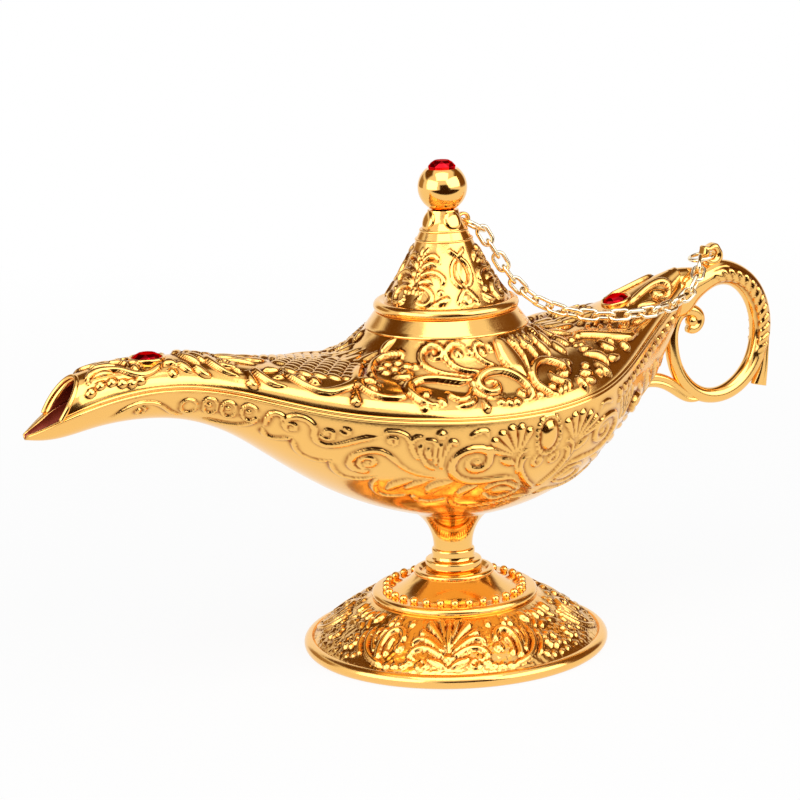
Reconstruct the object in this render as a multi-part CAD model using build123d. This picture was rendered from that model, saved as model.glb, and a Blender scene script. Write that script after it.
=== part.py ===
from build123d import *
import os
from collections import namedtuple
from math import ceil, cos, radians, sin

# Genie oil lamp: a hollow two-shell bowl with spout and tail handle, on a turned pedestal.
# Millimetres, +Z up. The origin is the middle of the foot on the table.
# The spout points to -X and the handle to +X, in the plane of symmetry Y = 0.

# Bowl, spout and tail
SPOUT_REACH = 112.6
TAIL_REACH = 68.6
BOWL_HALF_WIDTH = 34.0
SEAM_Z = 65.2
BOWL_DEPTH = 31.0
CROWN_RISE = 10.7
SPOUT_LIFT = 13.0
TAIL_LIFT = 17.3
SHELL_WALL = 1.8
LIP_WIDTH = 0.8
LIP_HALF_HEIGHT = 0.9
LIP_OVERLAP = 0.2
THIN_WALL_SHARE = 0.5
MOUTH_SETBACK = 7.0
MOUTH_SLANT = 55.5

# Collar and lid
COLLAR_RISE = 10.6
COLLAR_RADIUS = 17.6
BAND_RADIUS = 20.0
BAND_HEIGHT = 3.7
FLARE_LENGTH = 38.0
FLARE_WIDTH = 31.5
FLARE_DROP = 16.0
LID_SKIRT_RADIUS = 15.2
LID_FIT = 0.3
LID_SKIRT_DEPTH = 6.0
LID_WALL = 1.6
LID_SETBACK = 0.3
LID_FLANGE_RADIUS = 18.0
LID_FLANGE_HEIGHT = 2.6
LID_ROLL_SHARE = 0.45
LID_CONE_RADIUS = 15.4
LID_CONE_HEIGHT = 14.5
LID_CONE_SAG = 0.5
LID_WAIST_RADIUS = 7.0
LID_TIER_RADIUS = 5.8
LID_TIER_HEIGHT = 2.7
LID_NECK_RADIUS = 3.8
LID_NECK_HEIGHT = 4.8
TIER_STEP = 0.5

# Finial
BALL_RADIUS = 6.1
BALL_FLAT = 0.6
SPIGOT_RADIUS = 1.6
SPIGOT_LENGTH = 5.0
SPIGOT_FIT = 0.05
FINIAL_GEM_RADIUS = 3.4
FINIAL_GEM_HEIGHT = 2.0
FINIAL_GEM_SEAT = 1.5

# Jewels on the cover
SPOUT_GEM_SETBACK = 31.5
TAIL_GEM_SETBACK = 18.2
TAIL_GEM_TILT = -15.0
GEM_RADIUS = 3.2
GEM_HEIGHT = 1.9
GEM_FACETS = 12
GEM_TABLE = 0.55
GEM_GIRDLE = 0.3
BEZEL_WALL = 0.8
BEZEL_RISE = 0.5
BEZEL_FLOOR = 0.4
POCKET_DEPTH = 1.0
GEM_FIT = 0.05

# Foot, nut, stem and the screw that holds them
FOOT_RADIUS = 38.4
FOOT_RIM_RADIUS = 1.9
RIM_SEAT = 0.9
SKIRT_INSET = 2.2
SKIRT_FOOT_Z = 2.9
SKIRT_TOP_RADIUS = 21.2
SKIRT_HEIGHT = 10.0
SKIRT_BULGE = 0.35
STEP_RADIUS = 20.6
STEP_HEIGHT = 2.0
BEAD_RADIUS = 16.2
DISH_RADIUS = 10.2
DISH_HEIGHT = 5.2
DISH_DEPTH = 1.0
DISH_RIM = 1.4
DISH_BEVEL = 0.7
FOOT_WALL = 2.0
BOSS_RADIUS = 6.0
BOSS_LENGTH = 11.0
NUT_RADIUS = 6.8
NUT_SIDE = 3.8
NUT_TOP_RADIUS = 5.4
NUT_HEIGHT = 6.3
STEM_RADIUS = 4.9
STEM_FLARE_RADIUS = 12.5
STEM_LAP = 2.4
STEM_WAIST_OUT = 0.22
STEM_WAIST_UP = 0.67
SCREW_RADIUS = 2.0
SCREW_FIT = 0.15
SCREW_GRIP = 6.0
SCREW_HEAD_RADIUS = 3.6
SCREW_HEAD_HEIGHT = 2.6
SCREW_SLOT_WIDTH = 0.9
SCREW_SLOT_DEPTH = 1.2
WASHER_RADIUS = 5.0
WASHER_THICKNESS = 1.0

# Handle, placed from the middle of the tail's end face
LOOP_AHEAD = 12.8
LOOP_BELOW = 13.1
LOOP_HALF_WIDTH = 14.1
LOOP_HALF_HEIGHT = 16.3
LOOP_LEAN = 7.0
NECK_TURN = -30.0
NECK_RADIUS = 3.0
LOOP_OUTER_RADIUS = 2.5
LOOP_FOOT_RADIUS = 2.0
LOOP_INNER_RADIUS = 1.8
VOLUTE_START = 280.0
VOLUTE_SWEEP = 304.0
VOLUTE_STEPS = 8
VOLUTE_CLOSING = 0.3
VOLUTE_RADIUS = 2.8
VOLUTE_TUBE = 1.15
VOLUTE_EYE = 1.5
LEAF_HALF_THICKNESS = 2.1
LEAF_TURN = 42.0
LEAF_END_TURN = 120.0
LEAF_PROUD = 3.7
SPUR_TURN = 95.0
SPUR_PROUD = 2.6
SPUR_DROP = 12.9
SPUR_WIDTH = 5.6
SPUR_CANT = 1.3
STRUT_TURN = 195.0
STRUT_RADIUS = 1.7
STRUT_BACK = 13.6
STRUT_BELOW = 21.1

# Chain, its lug, eyes and rings
LUG_AHEAD = 11.2
LUG_ABOVE = 8.4
LUG_RADIUS = 2.9
LUG_THICKNESS = 2.4
LUG_EYE_RADIUS = 1.2
LID_EYE_X = 5.5
LID_EYE_RISE = 1.7
LID_EYE_RADIUS = 1.1
LID_EYE_RIM = 0.8
LID_EYE_THICKNESS = 1.6
RING_WIRE_RADIUS = 0.5
LID_RING_RADIUS = 3.2
LID_RING_FALL = 32.0
LUG_RING_RADIUS = 3.0
LUG_RING_FALL = 10.0
LUG_RING_HOOK = 50.0
LINK_LENGTH = 5.8
LINK_WIDTH = 3.7
LINK_WIRE_RADIUS = 0.4
LINK_PLAY = 0.1
CHAIN_TWIST = 50.0
# As the chain droops from the lid to the lug: share of the way, aside, and under the straight line
CHAIN_DROOP = [
    (0.042, 0.5, 5.8),
    (0.107, 1.0, 11.6),
    (0.193, 1.4, 15.4),
    (0.293, 1.9, 17.1),
    (0.392, 3.3, 16.7),
    (0.485, 5.3, 15.5),
    (0.587, 6.8, 13.2),
    (0.688, 7.1, 11.2),
    (0.790, 6.3, 9.6),
    (0.873, 5.2, 8.7),
    (0.937, 4.0, 7.1),
    (0.979, 2.8, 4.8),
    (0.996, 1.2, 2.3),
]

Station = namedtuple("Station", "x beam seam crown keel")


def station(along, beam, lift, crown, keel):
    """One cross-section of the hull, from shares of the driving sizes."""
    reach, rise = (SPOUT_REACH, SPOUT_LIFT) if along < 0 else (TAIL_REACH, TAIL_LIFT)
    seam = SEAM_Z + lift * rise
    keel_z = SEAM_Z - keel * BOWL_DEPTH
    return Station(along * reach, beam * BOWL_HALF_WIDTH, seam, crown * CROWN_RISE, seam - keel_z)


# From the spout tip to the tail: place, half width, seam height, cover over it and keel under it
HULL = [
    station(-1.000, 0.030, 0.423, 0.103, -0.139),
    station(-0.969, 0.100, 0.546, 0.271, -0.119),
    station(-0.936, 0.156, 0.677, 0.486, -0.116),
    station(-0.856, 0.190, 0.877, 0.664, -0.155),
    station(-0.749, 0.224, 1.000, 0.598, -0.171),
    station(-0.642, 0.270, 0.946, 0.626, -0.110),
    station(-0.535, 0.376, 0.715, 0.682, 0.065),
    station(-0.428, 0.560, 0.431, 0.832, 0.335),
    station(-0.303, 0.765, 0.200, 0.935, 0.639),
    station(-0.160, 0.940, 0.077, 0.953, 0.874),
    station(0.000, 1.000, 0.000, 1.000, 1.000),
    station(0.232, 0.970, 0.035, 0.991, 0.958),
    station(0.406, 0.862, 0.127, 0.972, 0.826),
    station(0.580, 0.640, 0.283, 0.888, 0.594),
    station(0.732, 0.410, 0.474, 0.822, 0.374),
    station(0.862, 0.240, 0.694, 0.794, 0.135),
    station(1.000, 0.106, 1.000, 0.570, -0.348),
]
mouth = HULL[2]
tail = HULL[-1]
# The hollow stops short of the spout tip and of the narrow tail
CAVITY = HULL[1:15]
# From the collar down: share of the drop, and of the spread along and across the lamp
FLARE_CURVE = [
    (0.0, 0.0, 0.0),
    (0.14, 0.12, 0.14),
    (0.29, 0.32, 0.31),
    (0.44, 0.61, 0.50),
    (0.63, 0.89, 0.70),
    (1.0, 1.0, 1.0),
]

# The pedestal's places, from the table up
skirt_radius = FOOT_RADIUS - SKIRT_INSET
skirt_top_z = SKIRT_FOOT_Z + SKIRT_HEIGHT
step_top_z = skirt_top_z + STEP_HEIGHT
dish_top_z = step_top_z + DISH_HEIGHT
dish_floor_z = dish_top_z - DISH_DEPTH
boss_foot_z = dish_floor_z - BOSS_LENGTH
nut_top_z = dish_floor_z + NUT_HEIGHT
stem_flare_z = SEAM_Z - BOWL_DEPTH + STEM_LAP
screw_hole = SCREW_RADIUS + SCREW_FIT

# Heights on the collar and lid, from the cover up
collar_top_z = SEAM_Z + CROWN_RISE + COLLAR_RISE
band_z = collar_top_z - BAND_HEIGHT
skirt_end_z = collar_top_z - LID_SKIRT_DEPTH
flange_top_z = collar_top_z + LID_FLANGE_HEIGHT
waist_z = flange_top_z + LID_CONE_HEIGHT
tier_z = waist_z + LID_TIER_HEIGHT
lid_top_z = tier_z + LID_NECK_HEIGHT
ball_z = lid_top_z - BALL_FLAT + BALL_RADIUS
finial_seat_z = ball_z + BALL_RADIUS - FINIAL_GEM_SEAT
bore_radius = LID_SKIRT_RADIUS + LID_FIT

loop_middle = Vector(tail.x + LOOP_AHEAD, 0, tail.seam - LOOP_BELOW)
lug_eye = Vector(tail.x + LUG_AHEAD, 0, tail.seam + LUG_ABOVE)
lid_eye = Vector(LID_EYE_X, 0, tier_z + LID_EYE_RISE)


def oval(place, half_width, rise, drop):
    """A face of two half ellipses that meet on the plane's X axis."""
    over = EllipticalCenterArc((0, 0), half_width, rise, 0, arc_size=180)
    under = EllipticalCenterArc((0, 0), half_width, drop, 180, arc_size=180)
    return place * make_face([over, under])


def across(x, z):
    """The cross-section plane of the hull at x, drawn from height z."""
    return Plane((x, 0, z), x_dir=(0, 1, 0), z_dir=(1, 0, 0))


def lathe(*edges):
    """Turns a closed profile, drawn as radius and height, round the pedestal axis."""
    return revolve(Plane.XZ * make_face(list(edges)), Axis.Z)


def turned(*points):
    """Turns a straight-sided profile round the pedestal axis."""
    return lathe(Polyline(*points, close=True))


def rod(radius, low, high):
    return Pos(0, 0, low) * Cylinder(radius, high - low, align=(Align.CENTER, Align.CENTER, Align.MIN))


def side_plate(edges, half_thickness):
    """An outline drawn in the plane of symmetry, given thickness to both sides."""
    return extrude(Plane.XZ * make_face(edges), half_thickness, both=True)


def hull_outside():
    return loft([oval(across(s.x, s.seam), s.beam, s.crown, s.keel) for s in HULL])


def hull_inside():
    """The cavity, with its widest line under the parting line so that no edges coincide."""
    sections = []
    for s in CAVITY:
        wall = min(SHELL_WALL, THIN_WALL_SHARE * s.keel)
        drop = LIP_HALF_HEIGHT
        place = across(s.x, s.seam - drop)
        sections.append(oval(place, s.beam - wall, s.crown - wall + drop, s.keel - wall - drop))
    return loft(sections)


def seam_lip():
    """The rounded edge that runs all round the lamp where the two shells meet."""
    sections = []
    for s in HULL:
        place = across(s.x, s.seam + LIP_OVERLAP)
        sections.append(oval(place, s.beam + LIP_WIDTH, LIP_HALF_HEIGHT, LIP_HALF_HEIGHT))
    return loft(sections)


def flare(inset=0.0):
    """The concave rise from the long cover to the round collar."""
    sections = []
    for down, ahead, beside in FLARE_CURVE:
        along = BAND_RADIUS + ahead * (FLARE_LENGTH - BAND_RADIUS)
        aside = BAND_RADIUS + beside * (FLARE_WIDTH - BAND_RADIUS)
        height = band_z - inset - down * FLARE_DROP
        sections.append(Plane((0, 0, height)) * Ellipse(along - inset, aside - inset))
    return loft(sections)


def below_seam():
    """Everything under the parting line of the two shells."""
    line = Spline([(s.x, s.seam) for s in HULL])
    start, end = line @ 0, line @ 1
    margin = 2 * BOWL_HALF_WIDTH
    rest = Polyline(
        end,
        (end.X + margin, end.Y),
        (end.X + margin, 0),
        (start.X - margin, 0),
        (start.X - margin, start.Y),
        start,
    )
    return side_plate([line, rest], margin)


def mouth_cut():
    """What the slanting mouth takes off the cover at the spout's end."""
    corner_x = MOUTH_SETBACK - SPOUT_REACH
    margin = BOWL_HALF_WIDTH
    slope = radians(MOUTH_SLANT)
    top_z = mouth.seam + margin * sin(slope)
    outline = Polyline(
        (corner_x, 0),
        (corner_x, mouth.seam),
        (corner_x + margin * cos(slope), top_z),
        (corner_x - margin, top_z),
        (corner_x - margin, 0),
        close=True,
    )
    return side_plate([outline], margin)


def shells(outside):
    """The lower and the upper shell, parted along the lip."""
    band = turned((0, band_z), (BAND_RADIUS, band_z), (COLLAR_RADIUS, collar_top_z), (0, collar_top_z))
    full = outside + seam_lip() + flare() + band
    hollow = hull_inside() + flare(SHELL_WALL) + rod(bore_radius, SEAM_Z, collar_top_z)
    shell = full - hollow
    under = below_seam()
    return shell & under, shell - under - mouth_cut()


def foot():
    """Hollow casting: rounded rim, bulged skirt, stepped ring, dished top and screw boss."""
    skirt_mid = (
        0.5 * (skirt_radius + SKIRT_TOP_RADIUS) + SKIRT_BULGE,
        0.5 * (SKIRT_FOOT_Z + skirt_top_z) + SKIRT_BULGE,
    )
    body = lathe(
        ThreePointArc((skirt_radius, SKIRT_FOOT_Z), skirt_mid, (SKIRT_TOP_RADIUS, skirt_top_z)),
        Polyline(
            (SKIRT_TOP_RADIUS, skirt_top_z),
            (STEP_RADIUS, skirt_top_z),
            (STEP_RADIUS - TIER_STEP, step_top_z),
            (BEAD_RADIUS, step_top_z),
            (DISH_RADIUS, dish_floor_z - DISH_RIM),
            (DISH_RADIUS, dish_top_z),
            (DISH_RADIUS - DISH_RIM, dish_top_z),
            (DISH_RADIUS - DISH_RIM - DISH_BEVEL, dish_floor_z),
            (0, dish_floor_z),
            (0, 0),
            (skirt_radius, 0),
            (skirt_radius, SKIRT_FOOT_Z),
        ),
    )
    rim = Pos(0, 0, RIM_SEAT * FOOT_RIM_RADIUS) * Torus(FOOT_RADIUS - FOOT_RIM_RADIUS, FOOT_RIM_RADIUS)
    table = Pos(0, 0, -FOOT_RADIUS) * Box(4 * FOOT_RADIUS, 4 * FOOT_RADIUS, 2 * FOOT_RADIUS)
    hollow = lathe(
        Line((skirt_radius - FOOT_WALL, 0), (skirt_radius - FOOT_WALL, SKIRT_FOOT_Z - FOOT_WALL)),
        ThreePointArc(
            (skirt_radius - FOOT_WALL, SKIRT_FOOT_Z - FOOT_WALL),
            (skirt_mid[0] - FOOT_WALL, skirt_mid[1] - FOOT_WALL),
            (SKIRT_TOP_RADIUS - FOOT_WALL, skirt_top_z - FOOT_WALL),
        ),
        Polyline(
            (SKIRT_TOP_RADIUS - FOOT_WALL, skirt_top_z - FOOT_WALL),
            (BOSS_RADIUS, step_top_z - FOOT_WALL),
            (BOSS_RADIUS, boss_foot_z),
            (0, boss_foot_z),
            (0, 0),
            (skirt_radius - FOOT_WALL, 0),
        ),
    )
    return body + (rim - table) - hollow - rod(screw_hole, 0, dish_top_z)


def nut():
    """The turned ring between foot and stem."""
    side_z = dish_floor_z + NUT_SIDE
    return turned(
        (screw_hole, dish_floor_z),
        (NUT_RADIUS, dish_floor_z),
        (NUT_RADIUS, side_z),
        (NUT_TOP_RADIUS, nut_top_z - TIER_STEP),
        (NUT_TOP_RADIUS, nut_top_z),
        (screw_hole, nut_top_z),
    )


def stem(outside):
    """The trumpet under the bowl, its top shaped to the bowl's underside and bored for the screw."""
    waist = (
        STEM_RADIUS + STEM_WAIST_OUT * (STEM_FLARE_RADIUS - STEM_RADIUS),
        nut_top_z + STEM_WAIST_UP * (stem_flare_z - nut_top_z),
    )
    trumpet = lathe(
        ThreePointArc((STEM_RADIUS, nut_top_z), waist, (STEM_FLARE_RADIUS, stem_flare_z)),
        Polyline(
            (STEM_FLARE_RADIUS, stem_flare_z),
            (0, stem_flare_z),
            (0, nut_top_z),
            (STEM_RADIUS, nut_top_z),
        ),
    )
    return trumpet - outside - rod(SCREW_RADIUS, nut_top_z, nut_top_z + SCREW_GRIP)


def washer():
    top = boss_foot_z
    return rod(WASHER_RADIUS, top - WASHER_THICKNESS, top) - rod(screw_hole, 0, top)


def screw():
    """Slotted cheese-head screw driven up through the foot into the stem."""
    seat = boss_foot_z - WASHER_THICKNESS
    head = rod(SCREW_HEAD_RADIUS, seat - SCREW_HEAD_HEIGHT, seat)
    slot = Box(
        3 * SCREW_HEAD_RADIUS,
        SCREW_SLOT_WIDTH,
        SCREW_SLOT_DEPTH,
        align=(Align.CENTER, Align.CENTER, Align.MIN),
    )
    head -= Pos(0, 0, seat - SCREW_HEAD_HEIGHT) * slot
    return head + rod(SCREW_RADIUS, seat, nut_top_z + SCREW_GRIP)


def eye_plate(eye, foot, radius, thickness):
    """A lug in the plane of symmetry: a round head about its eye, on a straight root."""
    head = Pos(eye) * Rot(90, 0, 0) * Cylinder(radius, thickness)
    reach = foot - eye
    root = Box(max(abs(reach.X), 2 * radius), thickness, max(abs(reach.Z), 2 * radius))
    return head + Pos(eye + 0.5 * reach) * root


def eye_hole(eye, radius):
    return Pos(eye) * Rot(90, 0, 0) * Cylinder(radius, 2 * BOWL_HALF_WIDTH)


def lid():
    """Hollow cone with a rolled flange, two tiers, a locating skirt and a chain eye."""
    outline = lathe(
        ThreePointArc(
            (COLLAR_RADIUS - LID_SETBACK, collar_top_z),
            (LID_FLANGE_RADIUS, collar_top_z + LID_ROLL_SHARE * LID_FLANGE_HEIGHT),
            (LID_CONE_RADIUS + TIER_STEP, flange_top_z),
        ),
        Polyline((LID_CONE_RADIUS + TIER_STEP, flange_top_z), (LID_CONE_RADIUS, flange_top_z)),
        ThreePointArc(
            (LID_CONE_RADIUS, flange_top_z),
            (0.5 * (LID_CONE_RADIUS + LID_WAIST_RADIUS) - LID_CONE_SAG, 0.5 * (flange_top_z + waist_z)),
            (LID_WAIST_RADIUS, waist_z),
        ),
        Polyline(
            (LID_WAIST_RADIUS, waist_z),
            (LID_WAIST_RADIUS - TIER_STEP, waist_z + TIER_STEP),
            (LID_TIER_RADIUS, tier_z),
            (LID_TIER_RADIUS - TIER_STEP, tier_z),
            (LID_NECK_RADIUS, lid_top_z),
            (0, lid_top_z),
            (0, collar_top_z),
            (COLLAR_RADIUS - LID_SETBACK, collar_top_z),
        ),
    )
    skirt = rod(LID_SKIRT_RADIUS, skirt_end_z, flange_top_z)
    hollow = turned(
        (0, skirt_end_z),
        (LID_SKIRT_RADIUS - LID_WALL, skirt_end_z),
        (LID_SKIRT_RADIUS - LID_WALL, collar_top_z),
        (LID_WAIST_RADIUS - LID_WALL, waist_z - LID_WALL),
        (0, waist_z - LID_WALL),
    )
    root = Vector(0, 0, lid_eye.Z)
    tab = eye_plate(lid_eye, root, LID_EYE_RADIUS + LID_EYE_RIM, LID_EYE_THICKNESS)
    cover = outline + skirt + tab - hollow - eye_hole(lid_eye, LID_EYE_RADIUS)
    return cover - rod(SPIGOT_RADIUS + SPIGOT_FIT, lid_top_z - SPIGOT_LENGTH, lid_top_z)


def finial_ball():
    """Polished ball with a spigot below and a flat seat for its stone above."""
    ball = Pos(0, 0, ball_z) * Sphere(BALL_RADIUS)
    ball &= rod(2 * BALL_RADIUS, lid_top_z, finial_seat_z)
    return ball + rod(SPIGOT_RADIUS, lid_top_z - SPIGOT_LENGTH, ball_z)


def cut_stone(radius, height):
    """A low faceted stone with a flat table, standing on the XY plane."""
    girdle = GEM_GIRDLE * height
    outline = RegularPolygon(radius, GEM_FACETS)
    table = Rot(0, 0, 180 / GEM_FACETS) * RegularPolygon(GEM_TABLE * radius, GEM_FACETS)
    crown = loft([Pos(0, 0, girdle) * outline, Pos(0, 0, height) * table], ruled=True)
    return extrude(outline, girdle) + crown


def crown_z(x):
    """Height of the cover's ridge at x."""
    for a, b in zip(HULL, HULL[1:]):
        if a.x <= x <= b.x:
            share = (x - a.x) / (b.x - a.x)
            return (1 - share) * (a.seam + a.crown) + share * (b.seam + b.crown)


def jewel(x, tilt):
    """A stone in its bezel cup, and the pocket in the cover that takes the cup."""
    place = Pos(x, 0, crown_z(x) - POCKET_DEPTH) * Rot(0, tilt, 0)
    radius = GEM_RADIUS + GEM_FIT
    height = POCKET_DEPTH + BEZEL_RISE
    cup = rod(radius + BEZEL_WALL, 0, height) - rod(radius, BEZEL_FLOOR, height)
    stone = Pos(0, 0, BEZEL_FLOOR) * cut_stone(GEM_RADIUS, GEM_HEIGHT)
    pocket = rod(radius + BEZEL_WALL, 0, CROWN_RISE)
    return place * cup, place * stone, place * pocket


def loop_spot(turn, proud=0.0):
    """A place on the handle's leaning oval, or proud of it, and the way on, clockwise from the top."""
    a = radians(turn)
    spot = Vector(LOOP_HALF_WIDTH * sin(a), 0, LOOP_HALF_HEIGHT * cos(a))
    way = Vector(LOOP_HALF_WIDTH * cos(a), 0, -LOOP_HALF_HEIGHT * sin(a)).normalized()
    out = Vector(-way.Z, 0, way.X)
    return loop_middle + (spot + proud * out).rotate(Axis.Y, LOOP_LEAN), way.rotate(Axis.Y, LOOP_LEAN)


def volute_spots():
    """Places along the curl that ends the handle, from the loop's inner side to the volute's eye."""
    start, _ = loop_spot(VOLUTE_START)
    eye = start + Vector(2 * VOLUTE_RADIUS, 0, 0)
    spots = []
    for step in range(1, VOLUTE_STEPS + 1):
        turned_by = VOLUTE_SWEEP * step / VOLUTE_STEPS
        a = radians(180 - turned_by)
        opening = max(0, 1 - turned_by / 90)
        radius = VOLUTE_RADIUS * (1 + opening - VOLUTE_CLOSING * step / VOLUTE_STEPS)
        spots.append(eye + Vector(radius * cos(a), 0, radius * sin(a)))
    return spots, eye


def round_section(spot, way, radius):
    return oval(Plane(spot, x_dir=(0, 1, 0), z_dir=way), radius, radius, radius)


def handle_tube():
    """The tube from the tail over the top, round the grip and up into the volute."""
    sections = [oval(across(tail.x, tail.seam), tail.beam, tail.crown, tail.keel)]
    girths = (
        (NECK_TURN, NECK_RADIUS),
        (0, NECK_RADIUS),
        (45, LOOP_OUTER_RADIUS),
        (90, LOOP_OUTER_RADIUS),
        (135, LOOP_OUTER_RADIUS),
        (180, LOOP_FOOT_RADIUS),
        (225, LOOP_FOOT_RADIUS),
        (255, LOOP_INNER_RADIUS),
        (VOLUTE_START, LOOP_INNER_RADIUS),
    )
    for turn, radius in girths:
        sections.append(round_section(*loop_spot(turn), radius))
    spots, eye = volute_spots()
    last, _ = loop_spot(VOLUTE_START)
    for before, spot, after in zip([last] + spots, spots, spots[1:]):
        sections.append(round_section(spot, after - before, VOLUTE_TUBE))
    return loft(sections) + Pos(eye) * Sphere(VOLUTE_EYE)


def handle_leaf():
    """The leaf that lies along the outside of the loop and ends in a free spur."""
    top, _ = loop_spot(0, NECK_RADIUS)
    shoulder, _ = loop_spot(LEAF_TURN, LEAF_PROUD)
    side, _ = loop_spot(SPUR_TURN, SPUR_PROUD)
    inner_end, _ = loop_spot(LEAF_END_TURN)
    inner_mid, _ = loop_spot(0.5 * LEAF_END_TURN)
    inner_top, _ = loop_spot(0)
    tip = side - Vector(0, 0, SPUR_DROP)
    notch = tip - Vector(SPUR_WIDTH, 0, -SPUR_CANT)
    edges = [
        ThreePointArc(top, shoulder, side),
        Polyline(side, tip, notch, inner_end),
        ThreePointArc(inner_end, inner_mid, inner_top),
        Line(inner_top, top),
    ]
    return extrude(make_face(edges), LEAF_HALF_THICKNESS, dir=(0, 1, 0), both=True)


def handle_strut():
    """The lower stay between the tail of the bowl and the foot of the loop."""
    start = Vector(tail.x - STRUT_BACK, 0, tail.seam - STRUT_BELOW)
    end, _ = loop_spot(STRUT_TURN)
    middle = 0.5 * (start + end) + Vector(0, 0, STRUT_RADIUS)
    path = ThreePointArc(start, middle, end)
    return sweep(Plane(path @ 0, z_dir=path % 0) * Circle(STRUT_RADIUS), path=path)


def handle(outside):
    return handle_tube() + handle_leaf() + (handle_strut() - outside)


def lug(grip):
    """The pierced lug soldered on the handle's neck."""
    root = lug_eye - Vector(0, 0, 2 * LUG_RADIUS)
    return eye_plate(lug_eye, root, LUG_RADIUS, LUG_THICKNESS) - grip - eye_hole(lug_eye, LUG_EYE_RADIUS)


def ring(eye, way, radius, hook=0.0):
    """A wire ring through an eye that lies across the lamp, and where the chain hangs on it."""
    across_lamp = Vector(0, 1, 0)
    middle = eye + radius * way
    place = Plane(middle, x_dir=way, z_dir=way.cross(across_lamp))
    hung = middle + radius * (cos(radians(hook)) * way - sin(radians(hook)) * across_lamp)
    return place * Torus(radius, RING_WIRE_RADIUS), hung


def chain_link():
    path = SlotOverall(LINK_LENGTH - 2 * LINK_WIRE_RADIUS, LINK_WIDTH - 2 * LINK_WIRE_RADIUS).wire()
    return sweep(Plane(path @ 0, z_dir=path % 0) * Circle(LINK_WIRE_RADIUS), path=path)


def chain(start, end):
    """Interlocked links along the route, each turned a quarter from the one before it."""
    line = end - start
    droop = [start + share * line + Vector(0, -aside, -under) for share, aside, under in CHAIN_DROOP]
    route = Spline([start, *droop, end])
    half_eye = 0.5 * LINK_LENGTH - LINK_WIRE_RADIUS
    hook = half_eye - LINK_WIRE_RADIUS - RING_WIRE_RADIUS - LINK_PLAY
    longest = 2 * half_eye - 2 * LINK_WIRE_RADIUS - LINK_PLAY
    span = route.length - 2 * hook
    count = 2 * ceil(span / longest / 2) + 1
    link = chain_link()
    links = []
    for i in range(count):
        along = hook + span * i / (count - 1)
        spot = route.position_at(along, position_mode=PositionMode.LENGTH)
        way = route.tangent_at(along, position_mode=PositionMode.LENGTH)
        roll = CHAIN_TWIST * i / (count - 1) + 90 * (i % 2)
        side = Vector(0, 1, 0).rotate(Axis((0, 0, 0), way), roll)
        flat = way.cross(side)
        links.append(Plane(spot, x_dir=way, z_dir=flat.cross(way)) * link)
    return Compound(children=links)


def ring_way(side, fall):
    """The way a ring points from its eye, to one side and falling by an angle."""
    return Vector(side * cos(radians(fall)), 0, -sin(radians(fall)))


if __name__ == "__main__":
    outside = hull_outside()
    lower_shell, cover = shells(outside)
    grip = handle(outside)
    spout_bezel, spout_gem, spout_pocket = jewel(SPOUT_GEM_SETBACK - SPOUT_REACH, 0)
    tail_bezel, tail_gem, tail_pocket = jewel(TAIL_REACH - TAIL_GEM_SETBACK, TAIL_GEM_TILT)
    lid_ring, lid_end = ring(lid_eye, ring_way(1, LID_RING_FALL), LID_RING_RADIUS)
    lug_ring, lug_end = ring(lug_eye, ring_way(-1, LUG_RING_FALL), LUG_RING_RADIUS, LUG_RING_HOOK)
    nodes = {
        "lower_shell": lower_shell,
        "upper_shell": cover - spout_pocket - tail_pocket,
        "spout_bezel": spout_bezel,
        "spout_gem": spout_gem,
        "tail_bezel": tail_bezel,
        "tail_gem": tail_gem,
        "base_foot": foot(),
        "base_washer": washer(),
        "base_screw": screw(),
        "stem_collar": nut(),
        "pedestal_stem": stem(outside),
        "lid_shell": lid(),
        "finial_ball": finial_ball(),
        "finial_gem": Pos(0, 0, finial_seat_z) * cut_stone(FINIAL_GEM_RADIUS, FINIAL_GEM_HEIGHT),
        "handle": grip,
        "handle_lug": lug(grip),
        "handle_ring": lug_ring,
        "lid_ring": lid_ring,
        "chain": chain(lid_end, lug_end),
    }
    os.makedirs("parts", exist_ok=True)
    for name, shape in nodes.items():
        export_step(shape, f"parts/{name}.step")
        print(name, "valid" if shape.is_valid else "NOT VALID", len(shape.solids()), round(shape.volume, 1))
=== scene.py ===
# %% [markdown]
# # A gilt genie lamp
# The lamp is a souvenir casting: two thin shells that meet on a rim, a pedestal, a lid on a chain and
# a scrolled handle, all plated with bright gold and set with three red stones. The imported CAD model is
# loaded first, because it says where every piece is. Each visible piece is then built over it as a
# dense, smooth net with its carving raised in real geometry.

# %% Load the frame
import math

import bmesh
import bpy
import numpy as np
from mathutils import Matrix, Vector
from mathutils.bvhtree import BVHTree


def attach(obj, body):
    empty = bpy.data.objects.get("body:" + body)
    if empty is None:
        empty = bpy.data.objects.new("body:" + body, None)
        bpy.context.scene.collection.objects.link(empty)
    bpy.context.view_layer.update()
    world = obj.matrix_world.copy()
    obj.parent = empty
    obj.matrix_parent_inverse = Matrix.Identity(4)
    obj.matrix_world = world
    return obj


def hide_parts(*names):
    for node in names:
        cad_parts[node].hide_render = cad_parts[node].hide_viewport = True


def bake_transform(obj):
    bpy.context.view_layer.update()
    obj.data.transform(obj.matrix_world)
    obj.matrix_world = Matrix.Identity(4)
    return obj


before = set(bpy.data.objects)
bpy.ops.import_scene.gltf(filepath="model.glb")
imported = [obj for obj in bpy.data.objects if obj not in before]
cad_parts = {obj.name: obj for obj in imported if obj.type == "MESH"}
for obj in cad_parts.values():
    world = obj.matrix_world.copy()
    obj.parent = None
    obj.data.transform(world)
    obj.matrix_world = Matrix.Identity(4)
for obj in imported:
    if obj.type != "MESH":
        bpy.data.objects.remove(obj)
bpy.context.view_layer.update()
MM = 0.001
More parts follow.
